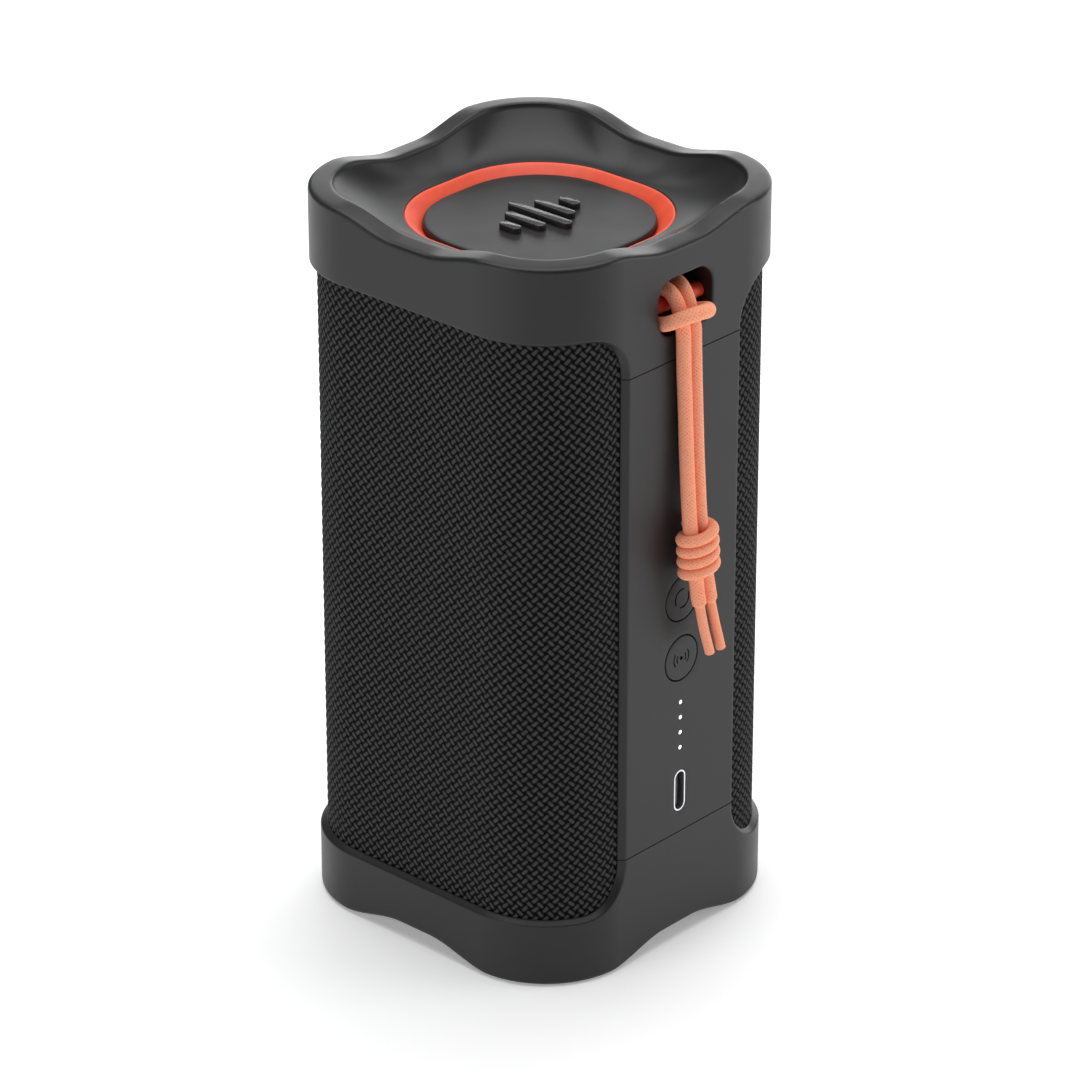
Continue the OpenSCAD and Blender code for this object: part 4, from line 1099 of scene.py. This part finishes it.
@dataclass
class Cap:
    """One moulded cap: wavy rim, dished end, skirt with a lip round the sleeve, tongue in front."""

    end: End
    opening: float
    seam: float
    tongue_cells: int = 40
    arc_cells: int = 20
    side_cells: int = 32
    corner_cells: int = 20
    wall_shares: Sequence[float] = (0.05, 0.1, *np.linspace(0.14, 0.84, 15), 0.9, 0.95, 1.0)
    rim_cuts: Sequence[Pair] = (
        (0.0, 1.35), (0.0, 1.1), (0.04, 0.86), (0.15, 0.63), (0.33, 0.45), (0.6, 0.32),
        (0.95, 0.25), (1.6, 0.18),
        (2.6, 0.1), (3.6, 0.03), (4.15, 0.0), (4.45, 0.03), (4.65, 0.13), (4.77, 0.3), (4.8, 0.5),
    )
    dish_shares: Sequence[float] = (
        0.05, 0.12, 0.18, 0.24, 0.3, 0.37, 0.44, 0.5, 0.56, 0.62, 0.7, 0.8, 0.9, 0.97,
    )
    dish_power: float = 1.8
    # Inset and depth of each row round the radiator's opening, past the dish.
    ring_rows: Sequence[Pair] = ((-0.1, 7.0), (-0.02, 7.06), (0.0, 7.2), (0.0, SIZES.lip - 0.02))
    # The wider pocket for the radiator's frame, down to its roof, then the inside of the skirt.
    frame_pocket: Outline = Outline(27.3, 22.7)
    roof: float = 11.3
    skirt_inset: float = 2.4
    skirt_end: Pair = (2.1, 2.05)
    low_lip: float = 0.75
    # Rows and columns of the front wall that the lanyard slot takes, and its cuts (grow, depth).
    slot_rows: tuple[int, int] = (3, 17)
    slot_margin: int = 6
    slot_cuts: Sequence[Pair] = (
        (1.0, 0.0), (0.6, 0.0), (0.36, 0.03), (0.16, 0.12), (0.04, 0.28), (0.0, 0.5), (0.0, 4.0),
        (0.0, SIZES.slot_depth - 0.4), (-0.4, SIZES.slot_depth),
    )
    slot_back: float = 9.0
    slot_back_grow: float = 0.7
    # Rows of the dish that a screw hole takes, half its columns, its rim (grow, sink) and its wall.
    plug_rows: tuple[int, int] = (1, 11)
    plug_columns: int = 4
    plug_rim: Sequence[Pair] = ((0.25, 0.0), (0.08, 0.02), (0.0, 0.12))
    plug_wall: Sequence[Pair] = (
        (SIZES.plug_hole, SIZES.plug_floor - 0.1), (SIZES.plug_hole - 0.3, SIZES.plug_floor),
    )

    def edge(self, lip: float, seam: float) -> tuple[np.ndarray, np.ndarray]:
        """Stations and depths of the cap's lower edge.

        Args:
            lip: How far the edge beside the sleeve is cut back.
            seam: How far the edge at the seam is cut back.

        Returns:
            Stations round the body, and depths below the end plane.
        """
        corner = SIZES.opening_corner
        tongue = np.linspace(-1, 1, self.tongue_cells + 1) * (SIZES.spine_half - lip)
        turn = np.linspace(0, QUARTER, self.arc_cells + 1)
        arc_x = SIZES.spine_half + corner - (corner + lip) * np.cos(turn)
        arc_depth = self.opening + corner - (corner + self.low_lip * lip) * np.sin(turn)
        right = BODY.station_of(arc_x)
        level = self.opening - self.low_lip * lip
        start = float(BODY.station_of(np.array([SIZES.spine_half + corner]))[0])
        marks = [start, 2.0, 3.0, 4.0, 5.0, 6.0, 7.0, 9.0 - start]
        cells = [self.corner_cells, self.side_cells] * 3 + [self.corner_cells]
        spans = zip(marks, marks[1:], cells)
        around = np.concatenate([np.linspace(a, b, n + 1)[1:] for a, b, n in spans])[:-1]
        left = 1 - right[::-1] + STATIONS
        stations = np.concatenate([BODY.station_of(tongue), right, around, left])
        tip, sides = np.full(len(tongue), self.seam - seam), np.full(len(around), level)
        return stations, np.concatenate([tip, arc_depth, sides, arc_depth[::-1]])

    def ring_of(
        self, stations: np.ndarray, outline: Outline, inset: float, depth: np.ndarray | float
    ) -> np.ndarray:
        """One closed row of points: an outline moved in by an inset, at a depth."""
        points, normals = outline.at(stations)
        flat = points - normals * inset
        return np.column_stack([flat, np.broadcast_to(self.end.height(depth), len(flat))])

    def dish_depth(self, start: np.ndarray | float, share: np.ndarray | float) -> np.ndarray:
        """Depth of the dish at a share of the way from the rim, where it starts, inward."""
        return start + (SIZES.dish - start) * (1 - (1 - share) ** self.dish_power)

    def rows(self) -> tuple[list[np.ndarray], int, int]:
        """All rows of the closed skin, and where the wall and the dish start among them."""
        made = []
        for depth, lip, seam in zip(EDGE_DEPTHS, LIP_CUTS, SEAM_CUTS):
            stations, low = self.edge(lip, seam)
            made.append(self.ring_of(stations, BODY, depth, low))
        wall = len(made) - 1
        high = wave_depth(BODY.at(stations)[0]) + self.rim_cuts[0][1] + 0.3
        for share in self.wall_shares:
            made.append(self.ring_of(stations, BODY, 0.0, low + (high - low) * share))
        for inset, drop in self.rim_cuts:
            points, normals = BODY.at(stations)
            flat = points - normals * inset
            made.append(self.ring_of(stations, BODY, inset, wave_depth(flat) + drop))
        dish = len(made) - 1
        outer, inner = RIM.at(stations)[0], RING.at(stations)[0]
        start = wave_depth(outer) + self.rim_cuts[-1][1]
        for share in self.dish_shares:
            flat = outer + (inner - outer) * share
            made.append(np.column_stack([flat, self.end.height(self.dish_depth(start, share))]))
        inner_rows = [(RING, inset, depth) for inset, depth in self.ring_rows]
        inner_rows += [
            (self.frame_pocket, 0.0, SIZES.lip),
            (self.frame_pocket, 0.0, self.roof),
            (BODY, self.skirt_inset, self.roof + 0.05),
            (BODY, self.skirt_inset, self.opening - self.skirt_end[0]),
            (BODY, EDGE_DEPTHS[0], self.opening - self.skirt_end[1]),
        ]
        made += [self.ring_of(stations, *row) for row in inner_rows]
        return made, wall, dish

    def dish_depth_at(self, flat: np.ndarray) -> np.ndarray:
        """Depth of the dish over points beside a corner of the body."""
        rim_flat, ring_flat = RIM.half - RIM.corner, RING.half - RING.corner

        def inside(share: np.ndarray) -> np.ndarray:
            """True where the dish's outline at a share of the way still has the point inside."""
            centre = rim_flat + (ring_flat - rim_flat) * share
            corner = RIM.corner + (RING.corner - RIM.corner) * share
            return np.linalg.norm(np.abs(flat) - centre[:, None], axis=1) <= corner

        return self.dish_depth(self.rim_cuts[-1][1], halve(len(flat), 1.0, inside))

    def slot_loop(self, skin: Skin, edge: np.ndarray, grow: float, depth: float) -> np.ndarray:
        """Adds one outline of the slot, with a point facing each point of an edge."""
        places = skin.where(edge)
        angles = np.arctan2(places[:, 2] - SIZES.slot_z, places[:, 0])
        spot = on_rounded_box(angles, SIZES.slot_half, SIZES.slot_corner, grow)
        return skin.upright(spot, depth, SIZES.slot_z)

    def slot(self, skin: Skin, ids: np.ndarray, wall: int) -> list[Block]:
        """Sinks the lanyard slot into the tongue, with a pocket behind it.

        Args:
            skin: The mesh.
            ids: Its grid of point numbers.
            wall: Row where the outer wall starts.

        Returns:
            The blocks of the grid that they take.
        """
        columns = (self.slot_margin, self.tongue_cells - self.slot_margin)
        block = (*(wall + row for row in self.slot_rows), *columns)
        edge = skin.block_edge(ids, block)
        loops = [self.slot_loop(skin, edge, *cut) for cut in self.slot_cuts]
        floor = (0, SIZES.slot_depth - SIZES.half, SIZES.slot_z)
        skin.fan(skin.chain([edge, *loops]), floor)
        behind = (len(ids) - 4, len(ids), *columns)
        edge = skin.block_edge(np.vstack([ids, ids[:1]]), behind)
        pocket = self.slot_loop(skin, edge, self.slot_back_grow, self.slot_back)
        skin.fan(skin.chain([edge, pocket]), (0, self.slot_back - SIZES.half, SIZES.slot_z))
        return [block, behind]

    def plug_holes(self, skin: Skin, ids: np.ndarray, dish: int) -> list[Block]:
        """Sinks the screw holes into the dish, one near each corner.

        Args:
            skin: The mesh.
            ids: Its grid of point numbers.
            dish: Row where the dish starts.

        Returns:
            The blocks of the grid that they take.
        """
        stations = np.mod(self.edge(LIP_CUTS[-1], SEAM_CUTS[-1])[0], STATIONS)
        blocks = []
        for corner, side in zip((1.5, 3.5, 5.5, 7.5), ((1, -1), (1, 1), (-1, 1), (-1, -1))):
            middle = int(np.argmin(np.abs(stations - corner)))
            rows = (dish + row for row in self.plug_rows)
            block = (*rows, middle - self.plug_columns, middle + self.plug_columns)
            edge = skin.block_edge(ids, block)
            centre = np.array(side) * SIZES.plug_place
            away = skin.where(edge)[:, :2] - centre
            ways = away / np.linalg.norm(away, axis=1)[:, None]
            loops = [edge]
            for grow, sink in self.plug_rim:
                flat = centre + ways * (SIZES.plug_hole + grow)
                loops.append(skin.level(flat, self.end.height(self.dish_depth_at(flat) + sink)))
            for radius, depth in self.plug_wall:
                loops.append(skin.level(centre + ways * radius, self.end.height(depth)))
            skin.fan(skin.chain(loops), (*centre, self.end.height(SIZES.plug_floor)))
            blocks.append(block)
        return blocks

    def build(self) -> None:
        """Builds the cap."""
        rows, wall, dish = self.rows()
        skin = Skin()
        ids = skin.add(np.stack(rows))
        if self.end is End.TOP:
            holes = self.slot(skin, ids, wall)
        else:
            holes = self.plug_holes(skin, ids, dish)
        skin.grid(ids, round_rows=True, round_columns=True, holes=holes)
        cap = skin.piece(f"{self.end.value}_cap_moulding", sharp=50)
        put_on(cap, ENCLOSURE, "cap_polymer", CAP, f"{self.end.value}_cap")


# ---- Spine, buttons ----


@dataclass
class Spine:
    """Flat control panel between the tongues, with its openings."""

    columns: Sequence[float] = (6, 5, 4, 3, 2.4, 1.8, 1.2, 0.6)
    side_columns: Sequence[float] = (13, 10.5, 8)
    # Half the block of cells that a button, a light and the socket take.
    button_block: Pair = (6.0, 6.0)
    light_block: Pair = (1.2, 1.2)
    socket_block: Pair = (3.0, 6.0)
    cell: float = 2.5
    hole_cuts: Sequence[Pair] = ((0.12, 0.0), (0.04, 0.01), (0.0, 0.06), (0.0, EDGE_DEPTHS[0]))

    def openings(self) -> list[tuple[float, Pair, Pair, float]]:
        """Each opening: height, half its block, half its own size, corner radius."""
        hole, light = SIZES.button_hole, SIZES.light_hole
        found = [
            (z, self.button_block, (hole, hole), hole) for z in (SIZES.power_z, SIZES.pairing_z)
        ]
        for i in range(SIZES.light_count):
            z = SIZES.light_top - i * SIZES.light_pitch
            found.append((z, self.light_block, (light, light), light))
        found.append((SIZES.socket_z, self.socket_block, SIZES.socket_half, SIZES.socket_half[0]))
        return sorted(found)

    def spread(self, start: float, stop: float) -> np.ndarray:
        """Even grid lines over a plain stretch."""
        return np.linspace(start, stop, max(1, round((stop - start) / self.cell)) + 1)

    def lines(self, low: float, high: float) -> tuple[np.ndarray, np.ndarray]:
        """Upright and level grid lines of the panel between two heights."""
        right = sorted([SIZES.spine_half - LIP_CUTS[-1], *self.side_columns, *self.columns])
        x = np.array([-v for v in reversed(right)] + [0.0] + right)
        z, start = [], low
        for middle, (_, block), _, _ in self.openings():
            z.append(self.spread(start, middle - block)[:-1])
            count = 4 if block == self.light_block[1] else 16
            z.append(np.linspace(middle - block, middle + block, count, endpoint=False))
            start = middle + block
        return x, np.concatenate([*z, self.spread(start, high)])

    def sink(
        self, skin: Skin, front: np.ndarray, back: np.ndarray, lines: tuple, opening: tuple
    ) -> Block:
        """Cuts one opening through the panel.

        Args:
            skin: The mesh.
            front: Point numbers of the front.
            back: Point numbers of the back.
            lines: The grid's upright and level lines.
            opening: One of the openings.

        Returns:
            The block of cells that it takes.
        """
        middle, reach, half, corner = opening
        places = ((lines[1], middle, reach[1]), (lines[0], 0.0, reach[0]))
        block = tuple(
            int(np.argmin(np.abs(line - at - side * size)))
            for line, at, size in places
            for side in (-1, 1)
        )
        edge = skin.block_edge(front, block)
        spots = skin.where(edge)
        angles = np.arctan2(spots[:, 2] - middle, spots[:, 0])
        loops = [edge]
        for grow, depth in self.hole_cuts:
            spot = on_rounded_box(angles, half, corner - SLIGHT, grow)
            loops.append(skin.upright(spot, depth, middle))
        skin.chain([*loops, skin.block_edge(back, block)])
        return block

    def build(self) -> None:
        """Builds the panel."""
        low = SIZES.bottom_seam + SIZES.seam_gap
        high = SIZES.height - SIZES.top_seam - SIZES.seam_gap
        x, z = self.lines(low + SEAM_CUTS[-1], high - SEAM_CUTS[-1])
        skin = Skin()
        gx, gz = np.meshgrid(x, z)
        front, back = (
            skin.add(np.stack([gx, np.full_like(gx, depth - SIZES.half), gz], -1))
            for depth in (0.0, EDGE_DEPTHS[0])
        )
        whole = (0, len(z) - 1, 0, len(x) - 1)
        border = skin.block_edge(front, whole)
        places = skin.where(border)
        loops = [border]
        middle_z = (low + high) / 2
        share_x, share_z = places[:, 0] / x[-1], (places[:, 2] - middle_z) / (z[-1] - middle_z)
        for depth, lip, seam in list(zip(EDGE_DEPTHS, LIP_CUTS, SEAM_CUTS))[-2::-1]:
            reach = (SIZES.spine_half - lip, (high - low) / 2 - seam)
            spot = np.column_stack([share_x * reach[0], share_z * reach[1]])
            loops.append(skin.upright(spot, depth, middle_z))
        skin.chain([*loops, skin.block_edge(back, whole)])
        holes = [self.sink(skin, front, back, (x, z), opening) for opening in self.openings()]
        skin.grid(front, holes=holes)
        skin.grid(back, holes=holes)
        panel = skin.piece("spine_panel_moulding", sharp=50)
        put_on(panel, ENCLOSURE, "cap_polymer", SPINE, "spine_panel")


@dataclass(frozen=True)
class Groove:
    """A cut in a button's face, between two radii, over parts of the circle in degrees."""

    inner: float
    outer: float
    parts: Sequence[Pair]


@dataclass
class Button:
    """A round key with an engraved sign, a collar behind the panel and a stem to its switch."""

    name: str
    z: float
    grooves: Sequence[Groove]
    cut: float = 0.5
    cells: int = 144
    land: float = 0.1
    slope: float = 0.03
    # Radius and depth from the edge of the face, past the collar, to the end of the stem.
    profile: Sequence[Pair] = (
        (3.4, 0.0), (4.44, 0.0), (4.53, 0.01), (4.58, 0.04), (4.6, 0.09), (4.6, 2.3), (5.6, 2.3),
        (5.6, 2.9), (1.8, 2.9), (1.8, 3.85),
    )

    def mask(self, angles: np.ndarray, groove: Groove) -> np.ndarray:
        """1 where a groove runs, 0 elsewhere."""
        degrees = np.mod(np.degrees(angles), 360)
        inside = np.zeros(len(angles), bool)
        for start, stop in groove.parts:
            inside |= np.mod(degrees - start, 360) <= stop - start
        return inside.astype(float)

    def build(self) -> None:
        """Builds the key."""
        angles = circle(self.cells)
        skin = Skin()
        none = np.zeros(len(angles))
        rows: list[tuple[float, np.ndarray]] = []
        for groove in sorted(self.grooves, key=lambda g: g.inner):
            deep = self.mask(angles, groove) * self.cut
            if groove.inner > 0:
                rows += [(groove.inner - self.land, none), (groove.inner, none)]
                rows += [(groove.inner + self.slope, deep)]
            else:
                rows += [(groove.outer / 2, deep)]
            rows += [(groove.outer - self.slope, deep), (groove.outer, none)]
            rows += [(groove.outer + self.land, none)]
        rows += [(radius, none + depth) for radius, depth in self.profile]
        ways = np.column_stack([np.cos(angles), np.sin(angles)])
        loops = [skin.upright(radius * ways, depth, self.z) for radius, depth in rows]
        skin.chain(loops)
        skin.fan(loops[0], (0, float(rows[0][1][0]) - SIZES.half, self.z))
        skin.fan(loops[-1], (0, self.profile[-1][1] - SIZES.half, self.z))
        key = skin.piece(f"{self.name}_key", sharp=40)
        put_on(key, f"{self.name}_body", "button_polymer", BUTTON, self.name)


# ---- Sleeve ----


@dataclass
class Sleeve:
    """Sheet of open woven fabric round three sides, tucked under the caps and the spine."""

    half: float = 35.75
    corner: float = 18.25
    low: float = 12.4
    high: float = 138.7
    tuck_from: float = 15.85
    spacing: float = 1.45
    samples: int = 4
    relief: float = 0.3
    stations: int = 4001

    def build(self) -> None:
        outline = Outline(self.half, self.corner)
        start = float(outline.station_of(np.array([self.tuck_from]))[0])
        fine = np.linspace(start, 9 - start, self.stations)
        gone = travelled(outline.at(fine)[0])
        width, height = float(gone[-1]), self.high - self.low
        pitch = self.spacing * math.sqrt(2)
        u_count = int((width + height) / pitch) + 1
        v_low, v_high = -int(height / pitch) - 1, int(width / pitch) + 1
        u = np.arange(0, u_count * self.samples + 1) / self.samples
        v = np.arange(v_low * self.samples, v_high * self.samples + 1) / self.samples
        uu, vv = np.meshgrid(u, v, indexing="ij")
        s, z = (uu + vv) * pitch / 2, (uu - vv) * pitch / 2
        inside = (s >= 0) & (s <= width) & (z >= 0) & (z <= height)
        number = np.full(inside.shape, -1)
        number[inside] = np.arange(inside.sum())
        s, z, us, vs = s[inside], z[inside], uu[inside], vv[inside]
        rise = self.relief * weave_height(us, vs, SLEEVE.half_thread) - self.relief
        flat, normal = outline.at(np.interp(s, gone, fine))
        points = np.column_stack([flat + normal * rise[:, None], z + self.low])
        corners = (number[:-1, :-1], number[1:, :-1], number[1:, 1:], number[:-1, 1:])
        cells = np.stack(corners, -1).reshape(-1, 4)
        quads = cells[(cells >= 0).all(1)]
        skin = Skin()
        skin.add(points)
        skin.faces = list(map(tuple, quads.tolist()))
        marks = {"weave": np.column_stack([us, vs, np.zeros(len(us))])}
        sheet = skin.piece("sleeve_fabric_sheet", sharp=180, outward=False, marks=marks)
        put_on(sheet, ENCLOSURE, "sleeve_fabric", SLEEVE, "fabric_sleeve")


# ---- Radiators ----


@dataclass
class Radiator:
    """One passive radiator: soft ring and stiff disc, and on the top one five raised bars."""

    end: End
    cells: int = 24
    bars: Sequence[float] = (5.0, 10.0, 16.0, 10.0, 5.0)
    bar_width: float = 2.2
    bar_pitch: float = 4.2
    bar_cells: int = 48
    # Inset and rise over the disc of each row of a bar.
    bar_rows: Sequence[Pair] = (
        (0, -0.1), (0, 0.3), (0, 0.9), (0.03, 1.06), (0.1, 1.15), (0.22, 1.2)
    )
    # Inset of each row of the disc and its depth from the face, then the rows across the face.
    disc_edge: Sequence[Pair] = ((0.0, 0.5), (0.02, 0.3), (0.1, 0.14), (0.25, 0.04), (0.45, 0.0))
    disc_shares: Sequence[float] = (0.95, 0.8, 0.6, 0.4, 0.2)
    # Share of the way across the ring and depth: the part beside the cap, then the slope beyond.
    ring_start: Sequence[Pair] = ((0.0, 7.3), (0.01, 7.16), (0.04, 7.1), (0.1, 7.13))
    ring_fall: float = 2.7
    ring_power: float = 1.15
    ring_thickness: float = 0.8
    bend_depths: Pair = (7.1, 9.4)

    def loop(self, skin: Skin, half: float, corner: float, depth: float) -> np.ndarray:
        """Adds one rounded square at a depth."""
        stations = np.linspace(0, STATIONS, 8 * self.cells, endpoint=False)
        flat = Outline(half, corner).at(stations)[0]
        return skin.level(flat, self.end.height(depth))

    def disc(self) -> None:
        """Builds the stiff disc."""
        skin = Skin()
        half, corner, drop, back = (
            SIZES.plate_half, SIZES.plate_corner, SIZES.plate_drop, SIZES.plate_back,
        )
        rows = [(0.3, back), (0.0, back - 0.1), (0.0, back - 1.0)]
        rows += [(inset, drop + depth) for inset, depth in self.disc_edge]
        loops = [self.loop(skin, half - inset, corner - inset, depth) for inset, depth in rows]
        loops += [self.loop(skin, half * k, corner * k, drop) for k in self.disc_shares]
        skin.chain(loops)
        skin.fan(loops[-1], (0, 0, self.end.height(drop)))
        skin.fan(loops[0], (0, 0, self.end.height(back)))
        name = self.end.value
        disc = skin.piece(f"{name}_radiator_disc", sharp=50)
        put_on(disc, f"{name}_radiator", "plate_polymer", PLATE, f"{name}_radiator_plate")

    def ring(self) -> None:
        """Builds the soft ring, which bends between the cap and the disc."""
        skin = Skin()
        outer = np.array([SIZES.ring_half - 0.03, SIZES.ring_corner - 0.03])
        inner = np.array([SIZES.plate_half + 0.02, SIZES.plate_corner + 0.02])
        from_share, from_depth = self.ring_start[-1]
        top = list(self.ring_start)
        for share in (0.2, 0.3, 0.4, 0.5, 0.6, 0.7, 0.8, 0.9, 1.0):
            along = (share - from_share) / (1 - from_share)
            top.append((share, from_depth + self.ring_fall * along**self.ring_power))
        under = [(share, depth + self.ring_thickness) for share, depth in reversed(top[3:])]
        rows = [*top, *under, (0.0, self.ring_start[0][1] + 1.0)]
        loops = [
            self.loop(skin, *(outer + (inner - outer) * share), depth) for share, depth in rows
        ]
        skin.chain([*loops, loops[0]])
        name = self.end.value
        ring = skin.piece(f"{name}_radiator_ring")
        ends = [(0, 0, self.end.height(depth) * MM) for depth in self.bend_depths]
        node = f"{name}_radiator_surround"
        put_between(ring, CORAL_RING, ends, node)

    def badge(self) -> None:
        """Builds the raised bars on the disc."""
        skin = Skin()
        turn = circle(self.bar_cells)
        for i, length in enumerate(self.bars):
            x = (i - (len(self.bars) - 1) / 2) * self.bar_pitch
            reach = np.sign(np.sin(turn)) * (length - self.bar_width) / 2
            loops = []
            for inset, rise in self.bar_rows:
                r = self.bar_width / 2 - inset
                flat = np.column_stack([x + r * np.cos(turn), r * np.sin(turn) + reach])
                loops.append(skin.level(flat, self.end.height(SIZES.plate_drop - rise)))
            skin.chain(loops)
            for loop, (_, rise) in ((loops[0], self.bar_rows[0]), (loops[-1], self.bar_rows[-1])):
                skin.fan(loop, (x, 0, self.end.height(SIZES.plate_drop - rise)))
        bars = skin.piece("badge_bars", sharp=45)
        put_on(bars, "top_radiator", "badge_polymer", BADGE, "top_radiator_badge")

    def build(self) -> None:
        """Builds the disc and the ring, and the bars on the top one."""
        self.disc()
        self.ring()
        if self.end is End.TOP:
            self.badge()


# ---- Soft parts of the drivers ----


@dataclass
class DriverEdge:
    """Half-roll edge and corrugated spider of one driver, which bend as the cone moves."""

    side: str
    sign: float
    height: float = 104.0
    roll_middle: Pair = (18.75, 30.62)
    roll: float = 1.63
    skin: float = 0.5
    spider_radii: Pair = (17.9, 7.62)
    spider_out: Pair = (22.05, 23.1)
    spider_half: float = 0.14
    waves: int = 5
    wave: float = 0.25
    cells: int = 96
    # Distances out where a part follows the basket and where it follows the cone.
    roll_bend: Pair = (32.0, 30.75)
    spider_bend: Pair = (22.2, 23.0)

    def revolve(self, name: str, profile: np.ndarray) -> bpy.types.Object:
        """Turns a closed profile of (radius, distance out) round the driver's axis."""
        turn = circle(self.cells)
        skin = Skin()
        y = profile[:, :1] * np.cos(turn)
        z = self.height + profile[:, :1] * np.sin(turn)
        x = np.broadcast_to(self.sign * profile[:, 1:], y.shape)
        skin.grid(skin.add(np.stack([x, y, z], -1)), round_rows=True, round_columns=True)
        return skin.piece(f"{self.side}_{name}")

    def roll_part(self, start: float, stop: float) -> np.ndarray:
        """Profile of part of the half-roll, between two angles in degrees."""
        angles = np.radians(np.linspace(start, stop, 14))
        way = np.stack([np.cos(angles), np.sin(angles)], -1)
        outer, inner = (self.roll_middle + way * r for r in (self.roll, self.roll - self.skin))
        return np.concatenate([outer, inner[::-1]])

    def spider_profile(self) -> np.ndarray:
        """Profile of the corrugated disc, from its rim to the coil."""
        share = np.linspace(0, 1, 81)
        radii, outs = self.spider_radii, self.spider_out
        radius = radii[0] + (radii[1] - radii[0]) * share
        out = outs[0] + (outs[1] - outs[0]) * share * share * (3 - 2 * share)
        fading = np.sin(math.pi * share) ** 0.5
        out += self.wave * np.sin(2 * math.pi * self.waves * share) * fading
        face, back = (np.stack([radius, out + s * self.spider_half], -1) for s in (1, -1))
        return np.concatenate([face, back[::-1]])

    def bend(self, piece: bpy.types.Object, slot: str, span: Pair, node: str) -> None:
        """Dresses a part that in the object follows the basket at one distance out and the cone at
        the other; it is not tied to either.
        """
        ends = [(self.sign * out * MM, 0, 0) for out in span]
        node = f"{self.side}_driver_{node}"
        put_between(piece, INNER_FINISHES[slot], ends, node)

    def build(self) -> None:
        """Builds the outer half of the roll, which stays still, and the two parts that bend."""
        still = self.revolve("roll_outer", self.roll_part(3, 90))
        put_on(still, ENCLOSURE, "roll_rubber", INNER_FINISHES["roll_rubber"])
        moving = self.revolve("roll_inner", self.roll_part(90, 177))
        self.bend(moving, "roll_rubber", self.roll_bend, "surround")
        spider = self.revolve("spider_disc", self.spider_profile())
        self.bend(spider, "spider_textile", self.spider_bend, "spider")


# ---- Whole object ----


def dress_insides() -> None:
    """Gives each CAD node that keeps its shape the finish of its slot, by the slot's name."""
    for name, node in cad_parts.items():
        for holder in node.material_slots:
            finish = INNER_FINISHES.get(holder.material.name)
            if finish:
                holder.material = finish.material()
                LOG.info("dressed %s in %s", name, finish.name)


POWER_SIGN = (Groove(1.78, 2.16, ((80, 210), (255, 385))),)
PAIRING_SIGN = (
    Groove(0.0, 0.42, ((0, 360),)),
    Groove(1.12, 1.44, ((-37, 37), (143, 217))),
    Groove(2.02, 2.34, ((-37, 37), (143, 217))),
)


def main() -> None:
    """Builds the whole object and the studio round it."""
    logging.basicConfig(level=logging.INFO, format="%(name)s: %(message)s", force=True)
    builders = [
        Studio(),
        Lanyard(),
        Cap(End.TOP, SIZES.top_opening, SIZES.top_seam),
        Cap(End.BOTTOM, SIZES.bottom_opening, SIZES.bottom_seam),
        Spine(),
        Button("power_button", SIZES.power_z, POWER_SIGN),
        Button("pairing_button", SIZES.pairing_z, PAIRING_SIGN),
        Sleeve(),
        Radiator(End.TOP),
        Radiator(End.BOTTOM),
        DriverEdge("left", -1.0),
        DriverEdge("right", 1.0),
    ]
    for builder in builders:
        builder.build()
    dress_insides()


if __name__ == "__main__":
    main()
